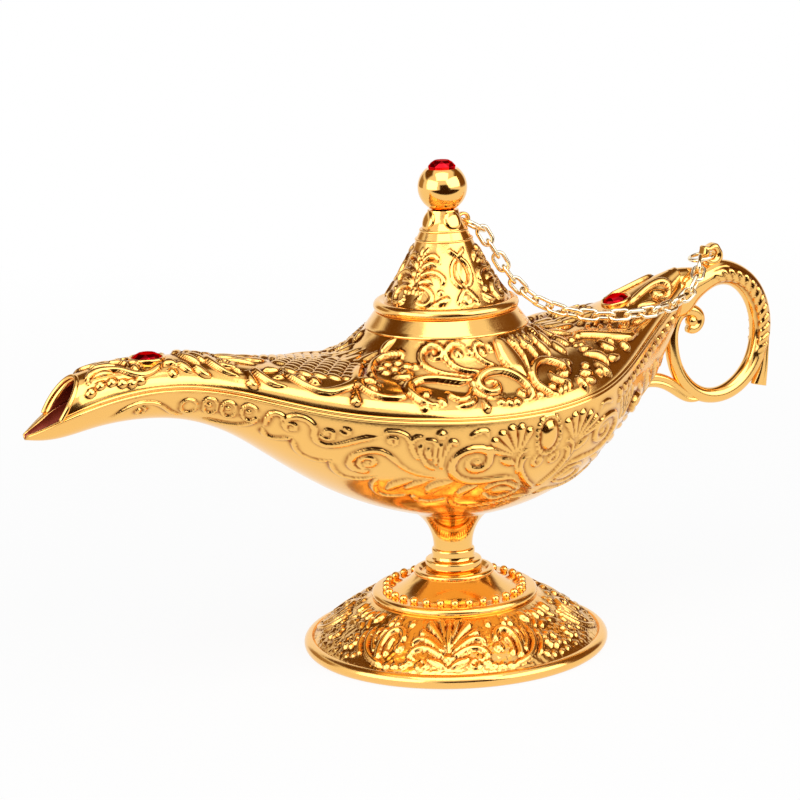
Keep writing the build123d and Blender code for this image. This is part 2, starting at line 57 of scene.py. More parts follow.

# %% [markdown]
# ## The camera
# A product picture is taken from well back with a long lens, so that the lamp is hardly distorted. The place,
# tilt and roll are given as numbers. A Track To constraint would be easier, but it can't roll.

# %% Place the camera
CAMERA_SPOT = Vector((-0.3435, -0.5950, 0.2202))
CAMERA_AHEAD = Vector((0.4846, 0.8747, 0))
CAMERA_DIP = math.radians(12.85)
CAMERA_ROLL = math.radians(1.94)
UP = Vector((0, 0, 1))


def add_camera():
    data = bpy.data.cameras.new("photo_camera")
    data.sensor_width = 36
    data.lens = 127.44
    camera = bpy.data.objects.new("photo_camera", data)
    ahead = CAMERA_AHEAD * math.cos(CAMERA_DIP) - UP * math.sin(CAMERA_DIP)
    right = CAMERA_AHEAD.cross(UP)
    roll = Matrix.Rotation(CAMERA_ROLL, 3, ahead)
    axes = (roll @ right, roll @ right.cross(ahead), -ahead)
    camera.matrix_world = Matrix.Translation(CAMERA_SPOT) @ Matrix(axes).transposed().to_4x4()
    bpy.context.scene.collection.objects.link(camera)
    bpy.context.scene.camera = camera
    return camera


print("camera:", add_camera().name)

# %% [markdown]
# ## The finishes
# Bright gold plating is a metal with very little roughness. Two things keep it from looking like plain chrome
# with a tint: the plating dulls a little in patches, and a warm brown painted shade darkens the base colour
# in the hollows of the carving. The hollows are known from an attribute named hollow, which each net carries
# from its carving.

# %% Mix the metals
def new_material(name):
    material = bpy.data.materials.new(name)
    material.use_nodes = True
    nodes = material.node_tree.nodes
    return material, nodes, material.node_tree.links, nodes["Principled BSDF"]


def add_node(nodes, kind, **sockets):
    """A new node with plain values in some of its sockets. A socket's name has _ for each space."""
    node = nodes.new("ShaderNode" + kind)
    for socket, value in sockets.items():
        node.inputs[socket.replace("_", " ")].default_value = value
    return node


def noise(nodes, links, scale, detail=2):
    """Soft noise that is fixed to the object, as a socket."""
    node = add_node(nodes, "TexNoise", Scale=scale, Detail=detail)
    links.new(nodes.new("ShaderNodeTexCoord").outputs["Object"], node.inputs["Vector"])
    return node.outputs["Fac"]


def colour_ramp(nodes, links, value, low, high, ends=(0, 1)):
    """A colour that goes from low to high as a value goes from one end to the other."""
    node = nodes.new("ShaderNodeValToRGB")
    for element, colour, place in zip(node.color_ramp.elements, (low, high), ends):
        element.position = place
        element.color = (*colour, 1)
    links.new(value, node.inputs["Fac"])
    return node.outputs["Color"]


def plated_metal(name, bright, hollow_shade, smooth, dull, grain):
    """Metal that is bright on its high places, darkened with painted shade in its hollows and dull in soft
    patches.
    """
    material, nodes, links, shader = new_material(name)
    shader.inputs["Metallic"].default_value = 1.0
    # Painted shade: where the hollow attribute is high, the base colour goes over to the dark shade colour.
    hollow = nodes.new("ShaderNodeAttribute")
    hollow.attribute_name = "hollow"
    colour = nodes.new("ShaderNodeMix")
    colour.data_type = "RGBA"
    colour.inputs["A"].default_value = (*bright, 1)
    colour.inputs["B"].default_value = (*hollow_shade, 1)
    links.new(hollow.outputs["Fac"], colour.inputs["Factor"])
    links.new(colour.outputs["Result"], shader.inputs["Base Color"])
    sheen = add_node(nodes, "MapRange", From_Min=0.35, From_Max=0.7, To_Min=smooth, To_Max=dull)
    links.new(noise(nodes, links, 60, 4), sheen.inputs["Value"])
    links.new(sheen.outputs["Result"], shader.inputs["Roughness"])
    bump = add_node(nodes, "Bump", Strength=grain, Distance=0.0002)
    links.new(noise(nodes, links, 900, 3), bump.inputs["Height"])
    links.new(bump.outputs["Normal"], shader.inputs["Normal"])
    return material


def red_glass(name):
    """Foil-backed red stone: the foil throws the light back red, brighter in some places than in others."""
    material, nodes, links, shader = new_material(name)
    shader.inputs["Metallic"].default_value = 1.0
    shader.inputs["Specular Tint"].default_value = (0.75, 0.03, 0.03, 1)
    shader.inputs["Roughness"].default_value = 0.10
    clouds = noise(nodes, links, 260)
    foil = colour_ramp(nodes, links, clouds, (0.22, 0.002, 0.006), (0.75, 0.012, 0.02), (0.35, 0.65))
    links.new(foil, shader.inputs["Base Color"])
    return material


def painted_inside_shade(name):
    """Painted shade for the inside of a casting: the dull dark red-brown that gold shows deep in its own
    shade, as a colour that hardly shines.
    """
    material, nodes, links, shader = new_material(name)
    shader.inputs["Metallic"].default_value = 0.35
    shader.inputs["Roughness"].default_value = 0.45
    blotches = noise(nodes, links, 120)
    # The colour of the painted shade inside, in blotches.
    skin = colour_ramp(nodes, links, blotches, (0.14, 0.012, 0.005), (0.42, 0.055, 0.02))
    links.new(skin, shader.inputs["Base Color"])
    return material


# The second colour of each metal is its painted shade in the hollows of the carving.
GOLD = plated_metal("bright_gold", (0.97, 0.55, 0.155), (0.28, 0.06, 0.004), 0.10, 0.20, 0.08)
POLISHED_GOLD = plated_metal("polished_gold", (0.97, 0.56, 0.16), (0.28, 0.06, 0.004), 0.07, 0.14, 0.03)
CHAIN_GOLD = plated_metal("pale_chain", (0.95, 0.80, 0.55), (0.40, 0.25, 0.10), 0.10, 0.20, 0.03)
STEEL = plated_metal("screw_steel", (0.60, 0.60, 0.58), (0.2, 0.2, 0.2), 0.25, 0.40, 0.05)
RED_STONE = red_glass("red_stone")
INSIDE_SHADE = painted_inside_shade("painted_inside_shade")
print("finishes:", [m.name for m in (GOLD, POLISHED_GOLD, CHAIN_GOLD, STEEL, RED_STONE, INSIDE_SHADE)])

# %% [markdown]
# ## Light, floor and cards
# Gold shows what is around it. In a studio that is a white floor and backdrop, soft boxes above and to
# both sides, and the dark room behind the photographer. That last one matters most: without it the gold
# goes flat. The dark room is a few warm brown cards with soft edges that only reflections can see. One more
# lies in front of the lamp, where the white table would end.

# %% Studio tools
scene = bpy.context.scene
scene.view_settings.view_transform = "Standard"


def add_math(nodes, links, operation, *values):
    """One step of arithmetic on sockets or plain numbers, as a socket."""
    node = nodes.new("ShaderNodeMath")
    node.operation = operation
    for value, socket in zip(values, node.inputs):
        if isinstance(value, (int, float)):
            socket.default_value = value
        else:
            links.new(value, socket)
    return node.outputs[0]


def white_for_sight(nodes, links, share):
    """A share for what cameras, reflections and glass see of a surface, and 0 for all other light."""
    path = nodes.new("ShaderNodeLightPath").outputs
    seen = add_math(nodes, links, "MAXIMUM", path["Is Camera Ray"], path["Is Glossy Ray"])
    either = add_math(nodes, links, "MAXIMUM", seen, path["Is Transmission Ray"])
    return add_math(nodes, links, "MULTIPLY", either, share)


def mix_surface(nodes, links, share, under, over):
    """Makes a material's surface a share of one shader over another."""
    blend = nodes.new("ShaderNodeMixShader")
    for socket, value in zip(blend.inputs, (share, under.outputs[0], over.outputs[0])):
        links.new(value, socket)
    links.new(blend.outputs[0], nodes["Material Output"].inputs["Surface"])


def flat_sheet(name, w, h, material):
    """A level rectangle of two half sizes."""
    mesh = bpy.data.meshes.new(name)
    mesh.from_pydata([(-w, -h, 0), (w, -h, 0), (w, h, 0), (-w, h, 0)], [], [(0, 1, 2, 3)])
    mesh.materials.append(material)
    return bpy.data.objects.new(name, mesh)


def studio_world(dim):
    world = bpy.data.worlds.new("white_backdrop")
    world.use_nodes = True
    nodes, links = world.node_tree.nodes, world.node_tree.links
    backdrop = nodes["Background"]
    backdrop.inputs["Color"].default_value = (1, 1, 1, 1)
    strength = add_math(nodes, links, "ADD", white_for_sight(nodes, links, 1 - dim), dim)
    links.new(strength, backdrop.inputs["Strength"])
    scene.world = world


def studio_floor(half_width):
    """A pale floor that keeps its shadow near the lamp and goes over into the white backdrop further out."""
    material, nodes, links, shader = new_material("white_floor")
    shader.inputs["Base Color"].default_value = (0.9, 0.9, 0.9, 1)
    shader.inputs["Roughness"].default_value = 0.8
    shader.inputs["Specular IOR Level"].default_value = 0.0
    away = nodes.new("ShaderNodeVectorMath")
    away.operation = "LENGTH"
    links.new(nodes.new("ShaderNodeTexCoord").outputs["Object"], away.inputs[0])
    share = add_node(nodes, "MapRange", From_Min=0.12, From_Max=0.6, To_Min=0.92, To_Max=1.0)
    links.new(away.outputs["Value"], share.inputs["Value"])
    white = white_for_sight(nodes, links, share.outputs["Result"])
    mix_surface(nodes, links, white, shader, nodes.new("ShaderNodeEmission"))
    floor = flat_sheet("floor", half_width, half_width, material)
    scene.collection.objects.link(floor)
    return floor


LAMP_MIDDLE = Vector((-0.015, 0, 0.065))
FRONT = math.atan2(-CAMERA_AHEAD.y, -CAMERA_AHEAD.x)


def aimed(obj, azimuth, height, distance):
    """Stands something round the lamp, turned to face it. Azimuth 0 is the camera's side."""
    a = FRONT + math.radians(azimuth)
    e = math.radians(height)
    way = Vector((math.cos(a) * math.cos(e), math.sin(a) * math.cos(e), math.sin(e)))
    turn = way.to_track_quat("Z", "Y").to_matrix().to_4x4()
    obj.matrix_world = Matrix.Translation(LAMP_MIDDLE + distance * way) @ turn
    scene.collection.objects.link(obj)


def soft_box(name, azimuth, height, distance, size, radiance):
    data = bpy.data.lights.new(name, "AREA")
    data.shape = "RECTANGLE"
    data.size, data.size_y = size
    data.energy = radiance * math.pi * size[0] * size[1]
    lamp = bpy.data.objects.new(name, data)
    aimed(lamp, azimuth, height, distance)
    return lamp


def soft_edge(nodes, links, place, half, soft):
    """1 inside a card and 0 at its edge, across one of its two ways."""
    fade = add_node(nodes, "MapRange", From_Min=half, From_Max=half * (1 - soft))
    fade.interpolation_type = "SMOOTHSTEP"
    links.new(add_math(nodes, links, "ABSOLUTE", place), fade.inputs["Value"])
    return fade.outputs["Result"]


def dark_card(name, azimuth, height, distance, size, shade, soft=0.4):
    """A card that only reflections see, for the dark side of the room. Its edges fade out."""
    w, h = 0.5 * size[0], 0.5 * size[1]
    material, nodes, links, _ = new_material(name)
    place = nodes.new("ShaderNodeSeparateXYZ")
    links.new(nodes.new("ShaderNodeTexCoord").outputs["Object"], place.inputs[0])
    edges = [soft_edge(nodes, links, place.outputs[k], half, soft) for k, half in enumerate((w, h))]
    cover = add_math(nodes, links, "MULTIPLY", *edges)
    glow = add_node(nodes, "Emission", Color=(*shade, 1))
    mix_surface(nodes, links, cover, nodes.new("ShaderNodeBsdfTransparent"), glow)
    card = flat_sheet(name, w, h, material)
    for sight in ("camera", "diffuse", "shadow", "transmission", "volume_scatter"):
        setattr(card, "visible_" + sight, False)
    aimed(card, azimuth, height, distance)
    return card


def lay_down(card, distance, turn):
    """Lays a card on the floor in front of the lamp, turned away from the camera by some degrees."""
    towards = Matrix.Rotation(math.radians(turn), 3, UP) @ -CAMERA_AHEAD.normalized()
    lying = Matrix((towards.cross(UP), -towards, UP)).transposed().to_4x4()
    card.matrix_world = Matrix.Translation(distance * towards + CARD_LIFT * UP) @ lying


# %% Light the studio
CARD_LIFT = 0.001
ROOM = (0.14, 0.06, 0.010)
NIGHT = (0.04, 0.016, 0.002)
SOFT_BOX = 2.2
studio_world(0.3)
studio_floor(3.0)
soft_box("left_box", -52, 17, 0.9, (0.90, 0.62), SOFT_BOX)
soft_box("right_box", 57, 25, 0.9, (1.05, 0.62), SOFT_BOX)
soft_box("top_box", 0, 61, 0.9, (0.80, 0.62), SOFT_BOX)
dark_card("photographer", 12, 5, 1.0, (1.10, 0.66), NIGHT, 0.3)
lay_down(dark_card("table_edge", 0, 0, 0.65, (1.30, 0.90), NIGHT, 0.06), 0.645, 16)
dark_card("room_right", 114, 24, 1.4, (1.60, 1.70), (0.19, 0.085, 0.018))
dark_card("room_left_high", -118, 46, 1.4, (1.60, 1.00), ROOM)
dark_card("room_left_low", -124, 8, 1.4, (1.30, 0.95), (0.38, 0.25, 0.12))
dark_card("room_back_high", 180, 56, 1.4, (2.60, 1.20), (0.15, 0.075, 0.02))

# %% [markdown]
# ## From numbers to a mesh
# Nearly every piece is a grid of points bent into shape. One helper turns points and faces into a piece
# that rides its body, takes the place of its CAD nodes and carries the hollow attribute. Normals are made
# consistent there, so no other step has to think about which way a face is wound.

# %% Make a piece
def make_piece(name, points, faces, body, slot, material, nodes=(), crease=None, hollow=None, inside=0):
    """points are in millimetres. crease is the angle over which an edge stays sharp, and the last faces, as
    many as inside says, get the painted shade of the dark inside."""
    mesh = bpy.data.meshes.new(name)
    mesh.from_pydata((np.asarray(points) * MM).tolist(), [], faces)
    finish = np.zeros(len(faces), int)
    finish[len(faces) - inside:] = 1
    mesh.polygons.foreach_set("material_index", finish)
    # The hollow attribute says where the metal paints its shade.
    shade = mesh.attributes.new("hollow", "FLOAT", "POINT")
    if hollow is not None:
        shade.data.foreach_set("value", np.asarray(hollow, float))
    work = bmesh.new()
    work.from_mesh(mesh)
    bmesh.ops.remove_doubles(work, verts=work.verts, dist=1e-7)
    bmesh.ops.recalc_face_normals(work, faces=work.faces)
    work.to_mesh(mesh)
    work.free()
    mesh.polygons.foreach_set("use_smooth", np.ones(len(mesh.polygons), bool))
    if crease is not None:
        mesh.set_sharp_from_angle(angle=math.radians(crease))
    mesh.materials.append(material)
    # The inner wall takes the painted shade of the dark inside.
    if inside:
        mesh.materials.append(INSIDE_SHADE)
    piece = bpy.data.objects.new(name, mesh)
    scene.collection.objects.link(piece)
    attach(piece, body)
    if nodes:
        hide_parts(*nodes)
    print(name, len(mesh.vertices), "points")
    return piece


def grid_faces(rows, columns, wrap_rows=False, wrap_columns=False, first=0):
    """The four-sided faces of a grid of points that is stored row by row."""
    r = np.arange(rows if wrap_rows else rows - 1)
    c = np.arange(columns if wrap_columns else columns - 1)
    r, c = np.meshgrid(r, c, indexing="ij")
    below, beside = (r + 1) % rows, (c + 1) % columns
    corners = (r * columns + c, below * columns + c, below * columns + beside, r * columns + beside)
    return (first + np.stack([k.ravel() for k in corners], axis=1)).tolist()


def spline(knots, values):
    """A smooth line through values, as a function: the natural cubic that a bent batten would take."""
    x, y = np.asarray(knots, float), np.asarray(values, float)
    gap = np.diff(x)
    slope = np.diff(y) / gap
    system, right = np.eye(len(x)), np.zeros(len(x))
    for i in range(1, len(x) - 1):
        system[i, i - 1:i + 2] = gap[i - 1], 2 * (gap[i - 1] + gap[i]), gap[i]
        right[i] = 6 * (slope[i] - slope[i - 1])
    bend = np.linalg.solve(system, right)

    def at(q):
        q = np.asarray(q, float)
        i = np.clip(np.searchsorted(x, q) - 1, 0, len(x) - 2)
        t, h = q - x[i], gap[i]
        cubic = (bend[i + 1] - bend[i]) / (6 * h)
        straight = slope[i] - h * (2 * bend[i] + bend[i + 1]) / 6
        return ((cubic * t + 0.5 * bend[i]) * t + straight) * t + y[i]

    return at


def running_length(points):
    """Distance of each point of a line from its start, along the line."""
    return np.r_[0, np.cumsum(np.linalg.norm(np.diff(points, axis=0), axis=1))]


def section_lengths(y, z):
    """Distance down each section of a skin, with one section to a column."""
    steps = np.hypot(np.diff(y, axis=0), np.diff(z, axis=0))
    return np.vstack([np.zeros(y.shape[1]), np.cumsum(steps, axis=0)])


def line_through(points, step=0.3):
    """Points set close together on a smooth line through a few given ones."""
    points = np.asarray(points, float)
    chord = running_length(points)
    count = max(3, int(chord[-1] / step) + 1)
    along = np.linspace(0, chord[-1], count)
    return np.stack([spline(chord, points[:, k])(along) for k in range(points.shape[1])], axis=1)


def net_normals(net):
    """The outward way at each point of a grid of points, from its neighbours."""
    down, side = np.gradient(net, axis=0), np.gradient(net, axis=1)
    normal = np.cross(side, down)
    return normal / np.maximum(np.linalg.norm(normal, axis=2, keepdims=True), 1e-12)


# %% [markdown]
# ## Carving
# A carver draws on the skin with lines, leaves, curls and beads. The same is done here: a carving holds the
# height of the relief at every point of a net, in millimetres along the lamp and round it, and each stroke
# raises the points near it. Strokes join like soldered wire, by the higher of the two. This gives real
# geometry, which shows in the outline and in the mesh itself, where a bump texture wouldn't.

# %% Carving tools
def even(share):
    """A line of one width with short tapered ends."""
    return np.clip(np.minimum(share, 1 - share) / 0.12, 0.35, 1)


def petal(share):
    """A shape that swells in the middle and is pointed at both ends."""
    return np.sin(math.pi * np.clip(share, 0.02, 0.98)) ** 0.7


def club(share):
    """A shape that grows to a round head."""
    return 0.3 + 0.7 * share ** 1.2


def club_back(share):
    """A shape that starts as a point and keeps a round head to its end."""
    return np.clip(0.25 + 1.3 * share, 0, 1)


def tail(share):
    """A shape that starts thick and runs out thin."""
    return 0.25 + 0.75 * (1 - share)


class Carving:
    """Heights raised on a skin, over its own coordinates u and v in millimetres."""

    def __init__(self, u, v, twin=None, boost=1.0):
        self.u, self.v = np.ravel(u), np.ravel(v)
        self.boost = boost
        self.height = np.zeros(len(self.u))
        self.twin = twin

    def near(self, low, high):
        inside = (self.u > low[0]) & (self.u < high[0]) & (self.v > low[1]) & (self.v < high[1])
        return np.nonzero(inside)[0]

    def stroke(self, points, wide, high=0.5, shape=even):
        high *= self.boost
        self.draw(line_through(points), wide, high, shape)
        if self.twin is not None:
            mirrored = np.asarray(points, float) * (-1, 1) + (2 * self.twin, 0)
            self.draw(line_through(mirrored), wide, high, shape)

    def strokes(self, lines, wide, high=0.5, shape=even):
        for points in lines:
            self.stroke(points, wide, high, shape)

    def draw(self, line, wide, high, shape):
        near = self.near(line.min(axis=0) - wide, line.max(axis=0) + wide)
        if not len(near):
            return
        spots = np.stack([self.u[near], self.v[near]], axis=1)
        width = wide * shape(np.linspace(0, 1, len(line)))
        raised = np.zeros(len(near))
        for a, b, wide_a, wide_b in zip(line, line[1:], width, width[1:]):
            way = b - a
            along = np.clip((spots - a) @ way / max(way @ way, 1e-9), 0, 1)
            gap = np.hypot(*(spots - a - along[:, None] * way).T)
            half = wide_a + along * (wide_b - wide_a)
            dome = np.sqrt(np.clip(1 - (gap / half) ** 3, 0, 1))
            raised = np.maximum(raised, high * np.minimum(1, half / wide) ** 0.6 * dome)
        self.height[near] = np.maximum(self.height[near], raised)

    def bead(self, spot, radius, high=None, squash=1.0):
        spots = [spot]
        if self.twin is not None:
            spots.append((2 * self.twin - spot[0], spot[1]))
        for u, v in spots:
            near = self.near((u - radius, v - radius * squash), (u + radius, v + radius * squash))
            gap = np.hypot(self.u[near] - u, (self.v[near] - v) / squash) / radius
            dome = (high or 0.7 * radius) * np.sqrt(np.clip(1 - gap ** 2, 0, 1))
            self.height[near] = np.maximum(self.height[near], dome)

    def beads(self, spots, radius, high=None, squash=1.0):
        for spot in spots:
            self.bead(spot, radius, high, squash)

    def curl(self, spot, radius, start, turns, wide=0.55, high=0.5, lead=()):
        """A volute that winds in to its eye from radius, with any points that lead up to it."""
        share = np.linspace(0, 1, max(8, int(14 * abs(turns))))
        a = np.radians(start + 360 * turns * share)
        r = radius * (1 - 0.72 * share)
        coil = np.stack([spot[0] + r * np.cos(a), spot[1] + r * np.sin(a)], axis=1)
        points = np.vstack([np.asarray(lead, float).reshape(-1, 2), coil])
        self.stroke(points, wide, high, even)
        self.bead(spot, 0.36 * radius, high)

    def ring(self, spot, half_u, half_v, wide=0.45, high=0.45):
        a = np.linspace(0, 2 * math.pi, 25)
        oval = np.stack([spot[0] + half_u * np.cos(a), spot[1] + half_v * np.sin(a)], axis=1)
        self.stroke(oval, wide, high)

    def apron(self, edge, high, soft=0.7):
        """Raises everything above a scalloped edge, like a cloth laid over the bowl."""
        edge = np.asarray(edge, float)
        sides = [edge]
        if self.twin is not None:
            sides.append((edge * (-1, 1) + (2 * self.twin, 0))[::-1])
        for side in sides:
            reach = np.interp(self.u, side[:, 0], side[:, 1], left=0, right=0)
            inside = np.clip((reach - self.v) / soft, 0, 1)
            fade = np.clip((np.abs(edge[0, 0] - edge[-1, 0]) - np.abs(self.u - edge[-1, 0])) / 8, 0, 1)
            self.height = np.maximum(self.height, high * fade * inside ** 0.5 * (reach > 0))


# %% [markdown]
# ## The hull's lines
# A boat builder would call these the lines of the hull: at each station along the lamp, the half width,
# the height of the rim where the shells meet, and the heights of the crown and the keel. A smooth spline
# runs through each column. Every section is half an ellipse below the rim and a slightly fuller curve above
# it. How far each new skin lies from the CAD solid is printed.

# %% Draw the hull
HULL_LINES = np.array([
    (-112.6, 1.0, 70.7, 71.8, 69.5),
    (-109.1, 3.4, 72.3, 75.2, 68.9),
    (-105.4, 5.3, 74.0, 79.2, 68.8),
    (-96.4, 6.5, 76.6, 83.7, 70.0),
    (-84.3, 7.6, 78.2, 84.6, 70.5),
    (-72.3, 9.2, 77.5, 84.2, 68.6),
    (-60.2, 12.8, 74.5, 81.8, 63.2),
    (-48.2, 19.0, 70.8, 79.7, 54.8),
    (-34.1, 26.0, 67.8, 77.8, 45.4),
    (-18.0, 32.0, 66.2, 76.4, 38.1),
    (0.0, 34.0, 65.2, 75.9, 34.2),
    (15.9, 33.0, 65.8, 76.4, 35.5),
    (27.9, 29.3, 67.4, 77.8, 39.6),
    (39.8, 21.8, 70.1, 79.6, 46.8),
    (50.2, 13.9, 73.4, 82.2, 53.6),
    (59.1, 8.2, 77.2, 85.7, 61.0),
    (68.6, 3.6, 82.5, 88.6, 76.0),
])
half_width, rim_height, crown_height, keel_height = (
    spline(HULL_LINES[:, 0], HULL_LINES[:, k]) for k in range(1, 5)
)
SPOUT_TIP, TAIL_END = HULL_LINES[0, 0], HULL_LINES[-1, 0]


COMPARE_EVERY = 37


def cad_tree(node):
    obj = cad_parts[node]
    vertices = [v.co for v in obj.data.vertices]
    return BVHTree.FromPolygons(vertices, [p.vertices for p in obj.data.polygons])


def compare(node, net):
    """Prints how far a net lies from the CAD solid that it is drawn over."""
    tree = cad_tree(node)
    spots = np.asarray(net).reshape(-1, 3)[::COMPARE_EVERY] * MM
    gaps = sorted(tree.find_nearest(Vector(s))[3] / MM for s in spots)
    print(node, "net to CAD, mm: middle", round(gaps[len(gaps) // 2], 2), "most", round(gaps[-1], 2))


# %% [markdown]
# ## Closed shells
# A cast shell has an inside too. The inner wall doesn't show, so it takes only every third point of the
# outer net. The two are sewn together all round their borders, which leaves one closed mesh.

# %% Sew a shell
EVERY = 3
SOFT_ROUNDS = 3
# Depth over which the painted shade in a shell's hollows grows full.
SHELL_SHADE_DEPTH = 0.24


def closed_shell(outer, inner, hole=None):
    """Points and faces of a shell. hole is (first row, last row, first column, last column) to leave out."""
    rows, columns = outer.shape[:2]
    coarse = inner[::EVERY, ::EVERY]
    first = rows * columns

    def outer_at(r, c):
        return r * columns + c

    def inner_at(r, c):
        return first + (r // EVERY) * coarse.shape[1] + c // EVERY

    def kept(step, height, width):
        r, c = np.meshgrid(np.arange(0, height - 1) * step, np.arange(0, width - 1) * step, indexing="ij")
        if hole is None:
            return np.ones(r.size, bool)
        return ~((r >= hole[0]) & (r < hole[1]) & (c >= hole[2]) & (c < hole[3])).ravel()

    faces = [f for f, k in zip(grid_faces(rows, columns), kept(1, rows, columns)) if k]
    borders = [(0, rows - 1, 0, columns - 1)] + ([hole] if hole else [])
    for top, bottom, left, right in borders:
        for c in range(left, right, EVERY):
            for r in (top, bottom):
                run = [outer_at(r, c + k) for k in range(EVERY + 1)]
                faces.append(run + [inner_at(r, c + EVERY), inner_at(r, c)])
        for r in range(top, bottom, EVERY):
            for c in (left, right):
                run = [outer_at(r + k, c) for k in range(EVERY + 1)]
                faces.append(run + [inner_at(r + EVERY, c), inner_at(r, c)])
    inside = grid_faces(*coarse.shape[:2], first=first)
    inside = [f[::-1] for f, k in zip(inside, kept(EVERY, *coarse.shape[:2])) if k]
    points = np.vstack([outer.reshape(-1, 3), coarse.reshape(-1, 3)])
    return points, faces + inside, len(inside)


def without_loose(points, faces, hollow):
    """The same shell without the points that no face uses."""
    used = np.zeros(len(points), bool)
    for f in faces:
        used[f] = True
    number = np.cumsum(used) - 1
    return points[used], [number[f].tolist() for f in faces], hollow[used]


def soften(height):
    """Heights averaged with their neighbours on the net, a few times over."""
    for _ in range(SOFT_ROUNDS):
        for axis in (0, 1):
            height = (np.roll(height, 1, axis) + height + np.roll(height, -1, axis)) / 3
    return height


# Mask of the painted shade in the hollows round each motif.
def hollows(height, depth):
    """Where a point lies lower than its surroundings: 1 in the corners round a motif, 0 on open ground."""
    return np.clip((soften(height) - height) / depth, 0, 1)


def carved_shell(name, net, normal, height, wall, node, hole=None):
    """A closed shell with relief on its outside, as a piece of the lamp."""
    outer, inner = net + normal * height[:, :, None], net - normal * wall[:, :, None]
    points, faces, inside = closed_shell(outer, inner, hole)
    hollow = np.zeros(len(points))
    # Painted shade round the carving, on the outer skin only.
    hollow[:height.size] = hollows(height, SHELL_SHADE_DEPTH).ravel()
    points, faces, hollow = without_loose(points, faces, hollow)
    return make_piece(name, points, faces, "lamp", "gilt_brass", GOLD, [node], hollow=hollow, inside=inside)


print("shell sewing every", EVERY, "points")

# %% [markdown]
# ## The lower shell
# The bowl and the underside of the spout are one shell. Its net runs from the rim on the near side under
# the keel to the rim on the far side, and both sides carry the same carving. Scrolls run along the rim,
# a scalloped apron hangs under them, and the middle of each side has a framed oval between two fans.

# %% Lay the lower net
LOWER_ROWS, LOWER_COLUMNS = 187, 451
CARVED_BAND = 29.0
WALL = 1.8
BOWL_MIDDLE = 8.2


def row_places(length):
    """Distances of the rows below the rim on one side: close together in the carved band, wide under it."""
    count = LOWER_ROWS // 2 + 1
    under = 1 + 1.8 * np.clip((length - CARVED_BAND) / 12, 0, 1)
    spacing = np.where(np.linspace(0, 1, count - 1) < 0.82, 1.0, under)
    place = np.r_[0, np.cumsum(spacing)]
    return place * length / place[-1]


def lower_net():
    """The skin below the rim, and the distance of each point below it."""
    x = np.linspace(SPOUT_TIP, TAIL_END, LOWER_COLUMNS)
    t = np.linspace(0, math.pi, 721)[:, None]
    wide, deep = half_width(x), rim_height(x) - keel_height(x)
    y, z = -wide * np.cos(t), rim_height(x) - deep * np.sin(t)
    arc = section_lengths(y, z)
    net, below = np.zeros((LOWER_ROWS, len(x), 3)), np.zeros((LOWER_ROWS, len(x)))
    for c in range(len(x)):
        half = row_places(0.5 * arc[-1, c])
        place = np.r_[half, arc[-1, c] - half[-2::-1]]
        net[:, c, 0] = x[c]
        net[:, c, 1] = np.interp(place, arc[:, c], y[:, c])
        net[:, c, 2] = np.interp(place, arc[:, c], z[:, c])
        below[:, c] = np.r_[half, half[-2::-1]]
    return net, below


# %% [markdown]
# ### What is carved below the rim
# Places are in millimetres, along the lamp and down from the rim. The bowl's side is drawn once and
# mirrored about the middle of the bowl.

# %% Draw the lower carving
SCALLOPS = [
    [(-57.4, 7.6), (-56.6, 9.6), (-55, 10), (-53, 9.3), (-51.3, 8.2)],
    [(-51.3, 8.2), (-50.5, 10.5), (-49, 12.8), (-46.5, 14), (-44, 13.8), (-42.5, 12.9)],
    [(-42.5, 12.9), (-42, 14.6), (-40.5, 17), (-38, 18.5), (-35.5, 18.2), (-32.3, 16.2)],
    [(-32.3, 16.2), (-32.2, 18.6), (-31.6, 21), (-30.2, 23.2), (-28, 24.4), (-25.6, 23.8), (-23.1, 22.2)],
    [(-23.1, 22.2), (-21.6, 24.3), (-19, 25.4), (-16.5, 24.6), (-14.2, 23.1)],
    [(-14.2, 23.1), (-13.4, 25), (-11.5, 26.9), (-8, 27.7), (-4, 27.1), (0, 26.2), (3.4, 25.1), (8.2, 26.6)],
]
APRON_EDGE = [(-57.5, 0.1)] + [spot for scallop in SCALLOPS for spot in scallop]


